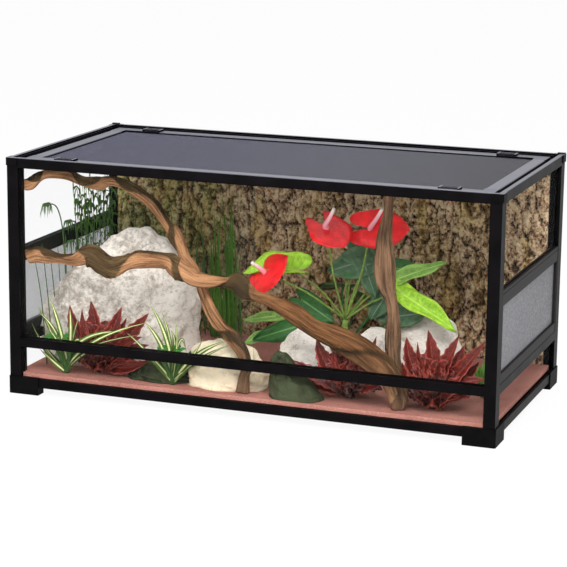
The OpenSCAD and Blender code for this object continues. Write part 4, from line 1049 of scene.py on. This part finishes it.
class TERRARIUM_OT_spider_plants(bpy.types.Operator):
    """Plant the two striped spider plants"""

    bl_idname = "terrarium.spider_plants"
    bl_label = "Spider plants"

    def execute(self, context):
        tint = colours()
        striped = foliage("striped_polyester_leaf", tint.leaf_cream, tint.leaf_green, "ecebb8", split=0.18)
        small = foliage("small_green_leaf", "3f8a35", "5fa64a", "78b85e", split=0.45)
        plain = foliage("plain_green_strap", "35552a", "48702f", "6d8f45", split=0.4)
        bm = bmesh.new()
        for number, (place, leaves, bunch) in enumerate(SPIDER_PLANTS):
            root, bunch = place * 1000, Vector(bunch)
            foot = root + UP * 1.5
            for i, (middle, tip) in enumerate(leaves):
                base = foot + Vector((4 * math.cos(i * 2.4), 3 * math.sin(i * 2.4), 0))
                facing = (0.5 * math.sin(2.3 * i + number), -0.8, 0.35 + 0.3 * math.cos(1.7 * i))
                leaf(bm, base, middle, tip, 10.4 - 1.8 * (i % 3), narrow, facing, fold=0.3, cells=16)
            for i in range(7):
                out = heading(math.radians(51 * i + 20 * number), 0.45)
                leaf(bm, foot, foot + out * 16 + UP * 34, foot + out * 34 + UP * (58 + 5 * (i % 3)), 7.5,
                     narrow, (0.3 * math.sin(i), -0.8, 0.5), index=2)
            # a bunch of small round leaves on thin runners
            for i in range(5):
                at = bunch + Vector((9 * math.sin(2.1 * i), 5 * math.cos(2.1 * i), 3 * math.sin(i)))
                stem(bm, [foot, (foot + at) / 2 + Vector((3, 0, 4)), at], 0.8, 0.5, index=1)
            for i in range(34):
                turn = i * GOLDEN_ANGLE
                at = bunch + heading(turn, 9 / 22) * 22 * (i / 34) ** 0.5 + UP * 9 * math.sin(1.9 * i)
                out = heading(turn, 0.6, 0.35)
                leaf(bm, at, at + out * 5 + UP * 1.5, at + out * 10, 7.5, lance, (0, -0.7, 0.7), cells=5,
                     index=1)
            stem(bm, [root + UP * 0.5, root + Vector((1, 0, 12)), root + Vector((0, 1, 24))], 6, 3, index=2)
        finish_plant("striped_leaves", bm, [striped, small, plain], "spider_plants")
        return {"FINISHED"}


# Rosettes as place, and upper leaves with their middle, their tip and their width in millimetres
ROSETTES = (
    (spot(-0.700, 0.125, 0), (
        ((-344, -160, 102), (-364, -155, 155), 25), ((-324, -168, 96), (-332, -171, 154), 17),
        ((-308, -160, 115), (-323, -153, 166), 28), ((-280, -160, 108), (-261, -155, 161), 26),
        ((-270, -156, 99), (-256, -145, 139), 22), ((-246, -167, 108), (-202, -169, 158), 26),
        ((-255, -173, 90), (-209, -183, 117), 22), ((-255, -160, 79), (-209, -153, 95), 22),
        ((-244, -172, 54), (-197, -181, 75), 22))),
    (spot(0.400, 0.150, 0), (
        ((130, -157, 94), (110, -154, 140), 26), ((154, -163, 85), (145, -166, 125), 18),
        ((173, -155, 89), (170, -148, 123), 22), ((198, -152, 88), (214, -142, 150), 24),
        ((114, -164, 76), (72, -170, 100), 22), ((209, -153, 78), (234, -144, 128), 22),
        ((214, -166, 69), (241, -174, 83), 22), ((124, -155, 57), (85, -148, 74), 22))),
    (spot(0.750, 0.130, 0), (
        ((286, -157, 105), (272, -154, 157), 27), ((305, -164, 101), (296, -168, 154), 17),
        ((320, -155, 113), (308, -148, 172), 29), ((345, -156, 116), (364, -152, 168), 27),
        ((351, -151, 103), (371, -140, 150), 24), ((371, -161, 108), (413, -162, 165), 27),
        ((367, -167, 86), (421, -176, 103), 22), ((288, -164, 77), (269, -168, 116), 22),
        ((370, -153, 88), (398, -144, 124), 22))),
)
# Rings of lower leaves as count, reach, height, width and material
TIERS = (
    (9, 34, 74, 27, 0), (11, 48, 60, 30, 0), (13, 57, 43, 33, 1),
    (13, 63, 27, 36, 1), (12, 60, 13, 35, 1), (8, 28, 44, 24, 1),
)


class TERRARIUM_OT_rosettes(bpy.types.Operator):
    """Plant the three red rosettes"""

    bl_idname = "terrarium.rosettes"
    bl_label = "Red rosettes"

    def execute(self, context):
        tint = colours()
        # the leaves' feet take near-black painted shade
        upper = foliage("burgundy_leaf", tint.rosette_red, "8a3a30", "84493f", split=0.41, gloss=0.3,
                        base="1f0a0a", shine=0.35, mottled=0.55)
        lower = foliage("dusky_pink_leaf", tint.rosette_pink, "4c2522", "b89490", split=0.33, gloss=0.28,
                        base="240f0f", shine=0.5, mottled=0.6)
        bm = bmesh.new()
        for number, (place, leaves) in enumerate(ROSETTES):
            root = place * 1000
            foot = root + UP * 8
            stem(bm, [root + UP * 0.5, root + UP * 12, root + UP * 30], 9, 4, index=1)
            for i, (middle, tip, width) in enumerate(leaves):
                facing = (0.5 * math.sin(2.9 * i + number), -0.8, 0.45)
                leaf(bm, foot + UP * 6, middle, tip, width * 1.3, lance, facing, fold=0.38, cells=16,
                     across=4, teeth=0.12)
            for tier, (count, reach, height, width, index) in enumerate(TIERS):
                for i in range(count):
                    jog = math.sin(12.9 * (i + 1) + 7.7 * tier + 3.1 * number)
                    way = math.radians(360 * i / count + 25 * tier + 12 * jog)
                    out = heading(way, 0.36 if math.sin(way) < 0 else 0.75)
                    tip = foot + out * reach * (1 + 0.14 * jog) + UP * (height + 6 * jog)
                    middle = foot + out * reach * 0.48 + UP * (0.72 * height + 6)
                    leaf(bm, foot + out * 4, middle, tip, width * (1 + 0.15 * jog), lance,
                         (0.35 * jog, -0.75, 0.6), fold=0.5, cells=14, across=4, teeth=0.13,
                         index=index if jog < 0.6 else 0)
        finish_plant("rosette_leaves", bm, [upper, lower], "red_rosettes")
        return {"FINISHED"}


# Bracts as foot, tip, width, where they face, fold, bow of the stalk, foot and tip of the spike, and notch
BLOOMS = (
    ((-16, -80, 230), (23, -130, 226), 108, (-0.57, -0.48, 0.66), 0.06, (4, -6, 9),
     (-20, -85, 236), (-35, -97, 250), 0.8),
    ((88, -42, 312), (130, -72, 288), 84, (0.14, -0.50, 0.84), 0.14, (-5, -4, 0),
     (84, -47, 316), (104, -57, 351), 1.3),
    ((158, -14, 312), (229, -8, 315), 80, (0.05, -0.90, 0.40), 0.10, (8, -4, 0),
     (161, -20, 316), (184, -30, 351), 0.55),
)
# Blades lower than this height in millimetres have a darker stalk from low on the stem
LOW_BLADE = 195
# Blades as foot, tip, width, where they face, fold and material
BLADES = (
    ((28, -40, 228), (-68, -56, 226), 66, (0.0, -0.45, 0.90), 0.95, 2),
    ((150, 20, 250), (72, 4, 224), 66, (-0.1, -0.9, 0.35), 0.12, 5),
    ((112, 26, 258), (164, 16, 246), 52, (0.0, -0.8, 0.5), 0.3, 5),
    ((140, 12, 240), (166, 2, 182), 40, (0.2, -0.9, 0.3), 0.2, 5),
    ((197, 12, 216), (292, -2, 262), 34, (-0.2, -0.8, 0.6), 0.35, 6),
    ((186, 26, 234), (240, 30, 236), 40, (-0.1, -0.9, 0.3), 0.2, 3),
    ((214, -6, 198), (326, -34, 151), 46, (0.25, -0.70, 0.75), 0.5, 2),
    ((206, 6, 152), (262, -4, 166), 48, (0.1, -0.9, 0.3), 0.2, 5),
    ((180, 14, 184), (154, 4, 142), 46, (-0.2, -0.9, 0.3), 0.25, 5),
    ((164, 18, 168), (196, 10, 134), 42, (0.2, -0.9, 0.3), 0.2, 5),
    ((-18, -12, 135), (-76, -32, 129), 26, (0.0, -0.7, 0.7), 0.3, 6),
    ((34, -12, 124), (-54, -42, 96), 46, (0.05, -0.85, 0.5), 0.15, 3),
    ((26, 2, 166), (90, -8, 134), 50, (0.15, -0.85, 0.45), 0.2, 3),
    ((-36, -24, 102), (-72, -36, 86), 26, (0.0, -0.8, 0.6), 0.2, 6),
    ((104, 14, 232), (146, 6, 214), 26, (0.1, -0.9, 0.3), 0.3, 3),
    ((120, 40, 176), (176, 62, 158), 60, (0.2, 0.4, 0.9), 0.2, 3),
    ((88, 44, 190), (40, 74, 176), 60, (-0.2, 0.4, 0.9), 0.2, 3),
)


class TERRARIUM_OT_flamingo_flower(bpy.types.Operator):
    """Plant the flamingo flower with its red bracts"""

    bl_idname = "terrarium.flamingo_flower"
    bl_label = "Flamingo flower"

    def execute(self, context):
        tint = colours()
        finishes = [spathe_red(), spadix_pink()]
        for *looks, split, gloss in (
            ("young_lime_leaf", tint.lime, "a6d23f", "c6e670", 0.42, 0.35),
            ("old_green_leaf", tint.deep_green, "2f6a30", "6fa35c", 0.42, 0.35),
            ("leaf_stalk", "7f9a48", "94ad5a", "86a052", 0.4, 0.45),
            ("blue_green_leaf", "4c6a4c", "5c7a58", "7d9a80", 0.42, 0.38),
            ("mid_green_leaf", "7fa850", "93ba5e", "b8da84", 0.4, 0.35),
        ):
            finishes.append(foliage(*looks, split=split, gloss=gloss))
        bm = bmesh.new()
        root = spot(0.235, 0.555, 0) * 1000
        crown = root + Vector((6, -3, 98))
        stem(bm, [root + UP * 0.5, root + Vector((3, 0, 50)), crown], 8, 5, sides=8, index=4)
        for i in range(5):
            out = heading(1.26 * i)
            foot = root + out * 11 + UP * 0.5
            stem(bm, [foot, foot * 0.4 + crown * 0.6 + out * 4, crown], 3, 2, index=4)

        def stalk(base, bow, start=crown, index=4):
            base = Vector(base)
            stem(bm, [start, (start + base) / 2 + Vector(bow), base], 2.1, 1.4, index=index)

        for i, (base, tip, width, facing, fold, bow, foot, end, notch) in enumerate(BLOOMS):
            stalk(base, bow)
            heart(bm, base, tip, width, facing, fold, 0.4 + 0.27 * notch, 0.05, 0.5, i, notch=notch)
            middle = (Vector(foot) + Vector(end)) / 2 + Vector((1, 0, 0))
            stem(bm, [base, foot, middle, end], 5.2, 2.6, sides=8, index=1)
        for i, (base, tip, width, facing, fold, index) in enumerate(BLADES):
            if base[2] < LOW_BLADE:
                stalk(base, (0, 3, -4), root + UP * 45, 3)
            else:
                stalk(base, (0, 3, 8))
            heart(bm, base, tip, width, facing, fold, 0.3, 0.08, 0.9, 2.0 * i, index=index)
        finish_plant("flamingo_leaves", bm, finishes, "flamingo_flower")
        return {"FINISHED"}


# Height of the feet of the reeds in millimetres, just above the floor pane
REED_FOOT = 38.5
# Papyrus stalks, in millimetres, with the number of threads in their mops
PAPYRUS = (
    (((-416, -52, REED_FOOT), (-420, -56, 180), (-421, -64, 268), (-421, -82, 312), (-421, -106, 328),
      (-421, -128, 327)), 16),
    (((-414, 0, REED_FOOT), (-420, 2, 190), (-421, -4, 262), (-421, -20, 281), (-421, -40, 280)), 12),
    (((-416, -20, REED_FOOT), (-421, -24, 180), (-421, -30, 240)), 8),
    (((-412, 40, REED_FOOT), (-420, 36, 200), (-420, 44, 300)), 9),
)


class TERRARIUM_OT_reeds(bpy.types.Operator):
    """Plant the papyrus, the bamboo and the reeds"""

    bl_idname = "terrarium.reeds"
    bl_label = "Reeds"

    def execute(self, context):
        finishes = [foliage(*looks, split=0.4, gloss=0.5) for looks in (
            ("reed_leaf", "4f7040", "64854e", "7c9a5c"),
            ("reed_stalk", "4c6b36", "5f8342", "74934e"),
            ("tall_grass", "4d7d2a", "6f9c3a", "84ad4c"),
        )]
        bm = bmesh.new()
        # bamboo along the left pane: many-leaved canes that lean a little
        for i in range(13):
            y, top = -20 + 14 * i, 366 - 30 * abs(math.sin(1.9 * i)) - 1.2 * i
            foot = Vector((-416 + 4 * (i % 3), y * 0.9 + 14, REED_FOOT))
            head = Vector((-421 + 2 * (i % 2), y, top))
            bow = Vector((3, 8 * math.sin(i), 0))
            stem(bm, [foot, (foot + head) / 2 + bow, head], 1.0, 0.4, index=1)
            for k in range(16):
                t = 0.42 + 0.58 * k / 15
                at = foot + (head - foot) * t + bow * 2 * t * (1 - t)
                way = (1 if (k + i) % 2 else -1) * (0.8 + 0.5 * math.sin(3 * k + i))
                out = Vector((0.25 * abs(math.sin(4 * k + i)), way, 0))
                tip = at + out * (16 + 7 * math.sin(k)) - UP * (4 + 20 * abs(math.sin(5 * k + 2 * i)))
                leaf(bm, at, at + out * 9 + UP * 3, tip, 3.6 + 1.6 * math.sin(7 * k), lance, (0.8, -0.4, 0.4),
                     cells=5, fold=0.1, index=2 * (k % 2))
        # papyrus: bare arching stalks, each with a drooping mop of threads
        for path, threads in PAPYRUS:
            stem(bm, path, 1.2, 0.8, index=1)
            head = Vector(path[-1])
            for k in range(threads):
                way = 2 * math.pi * k / threads
                out = Vector((0.35 * math.cos(way), math.sin(way) - 0.15, 0))
                tip = head + out * (18 + 7 * math.sin(2.3 * k)) - UP * (14 + 9 * math.sin(3.1 * k))
                leaf(bm, head, head + out * 12 + UP * 5, tip, 2.6, narrow, (0.6, -0.5, 0.6), cells=6,
                     fold=0.1)
        # bare canes near the front
        for i in range(5):
            foot = Vector((-414, -150 + 26 * i, REED_FOOT))
            head = foot + Vector((-8, -30 + 6 * i, 210 + 14 * math.sin(2 * i)))
            stem(bm, [foot, foot + Vector((-4, -10, 120)), head], 1.1, 0.4, index=1)

        def blade(i, x, y, bow, lean, width, index):
            foot = Vector((x, y, REED_FOOT))
            leaf(bm, foot, foot + Vector((bow, -3, lean[2] * 0.5)), foot + Vector(lean), width, narrow,
                 (0.3 * math.sin(i), -0.9, 0.2), cells=8, fold=0.15, index=index)

        # grass and reeds before the bark board
        for i in range(30):
            high = 175 + 75 * math.sin(2.6 * i) + (40 if i % 5 == 0 else 0)
            blade(i, -214 + 1.9 * i + 3 * math.sin(5 * i), 158 + 9 * math.sin(3 * i), 2 * math.sin(i),
                  (9 * math.sin(2 * i), -6, high), 4.8, 2)
        for i in range(34):
            high = 200 + 50 * math.sin(1.7 * i) + 28 * math.sin(4.1 * i)
            blade(i, -396 + 5.4 * i, 168 + 6 * math.sin(3 * i), 4 * math.sin(i),
                  (16 * math.sin(2.2 * i), -4, high), 3.4, 0)
        # a small sprig by the right post
        foot = Vector((385, -60, REED_FOOT))
        for i in range(7):
            out = heading(0.9 * i)
            leaf(bm, foot, foot + out * 8 + UP * 34, foot + out * 19 + UP * (50 + 6 * (i % 3)), 15, lance,
                 (0.2, -0.8, 0.5), cells=8, index=2)
        finish_plant("reed_stalks", bm, finishes, "reeds")
        return {"FINISHED"}


class TERRARIUM_PT_panel(bpy.types.Panel):
    """Lists the pieces of the terrarium"""

    bl_idname = "TERRARIUM_PT_panel"
    bl_label = "Terrarium"
    bl_space_type = "VIEW_3D"
    bl_region_type = "UI"
    bl_category = "Terrarium"

    def draw(self, context):
        for operator in OPERATORS:
            self.layout.operator(operator.bl_idname)
        for group in (context.scene.terrarium_sizes, context.scene.terrarium_colours):
            box = self.layout.box()
            for name in group.__annotations__:
                box.prop(group, name)


OPERATORS = (
    TERRARIUM_OT_stage, TERRARIUM_OT_frame, TERRARIUM_OT_glass, TERRARIUM_OT_screens, TERRARIUM_OT_bark,
    TERRARIUM_OT_sand, TERRARIUM_OT_driftwood, TERRARIUM_OT_rocks, TERRARIUM_OT_spider_plants,
    TERRARIUM_OT_rosettes, TERRARIUM_OT_flamingo_flower, TERRARIUM_OT_reeds,
)
CLASSES = (TerrariumSizes, TerrariumColours) + OPERATORS + (TERRARIUM_PT_panel,)


def register():
    for cls in CLASSES:
        bpy.utils.register_class(cls)
    bpy.types.Scene.terrarium_sizes = PointerProperty(type=TerrariumSizes)
    bpy.types.Scene.terrarium_colours = PointerProperty(type=TerrariumColours)


def unregister():
    del bpy.types.Scene.terrarium_colours
    del bpy.types.Scene.terrarium_sizes
    for cls in reversed(CLASSES):
        bpy.utils.unregister_class(cls)


def main():
    register()
    for operator in OPERATORS:
        group, name = operator.bl_idname.split(".")
        getattr(getattr(bpy.ops, group), name)()


if __name__ == "__main__":
    main()
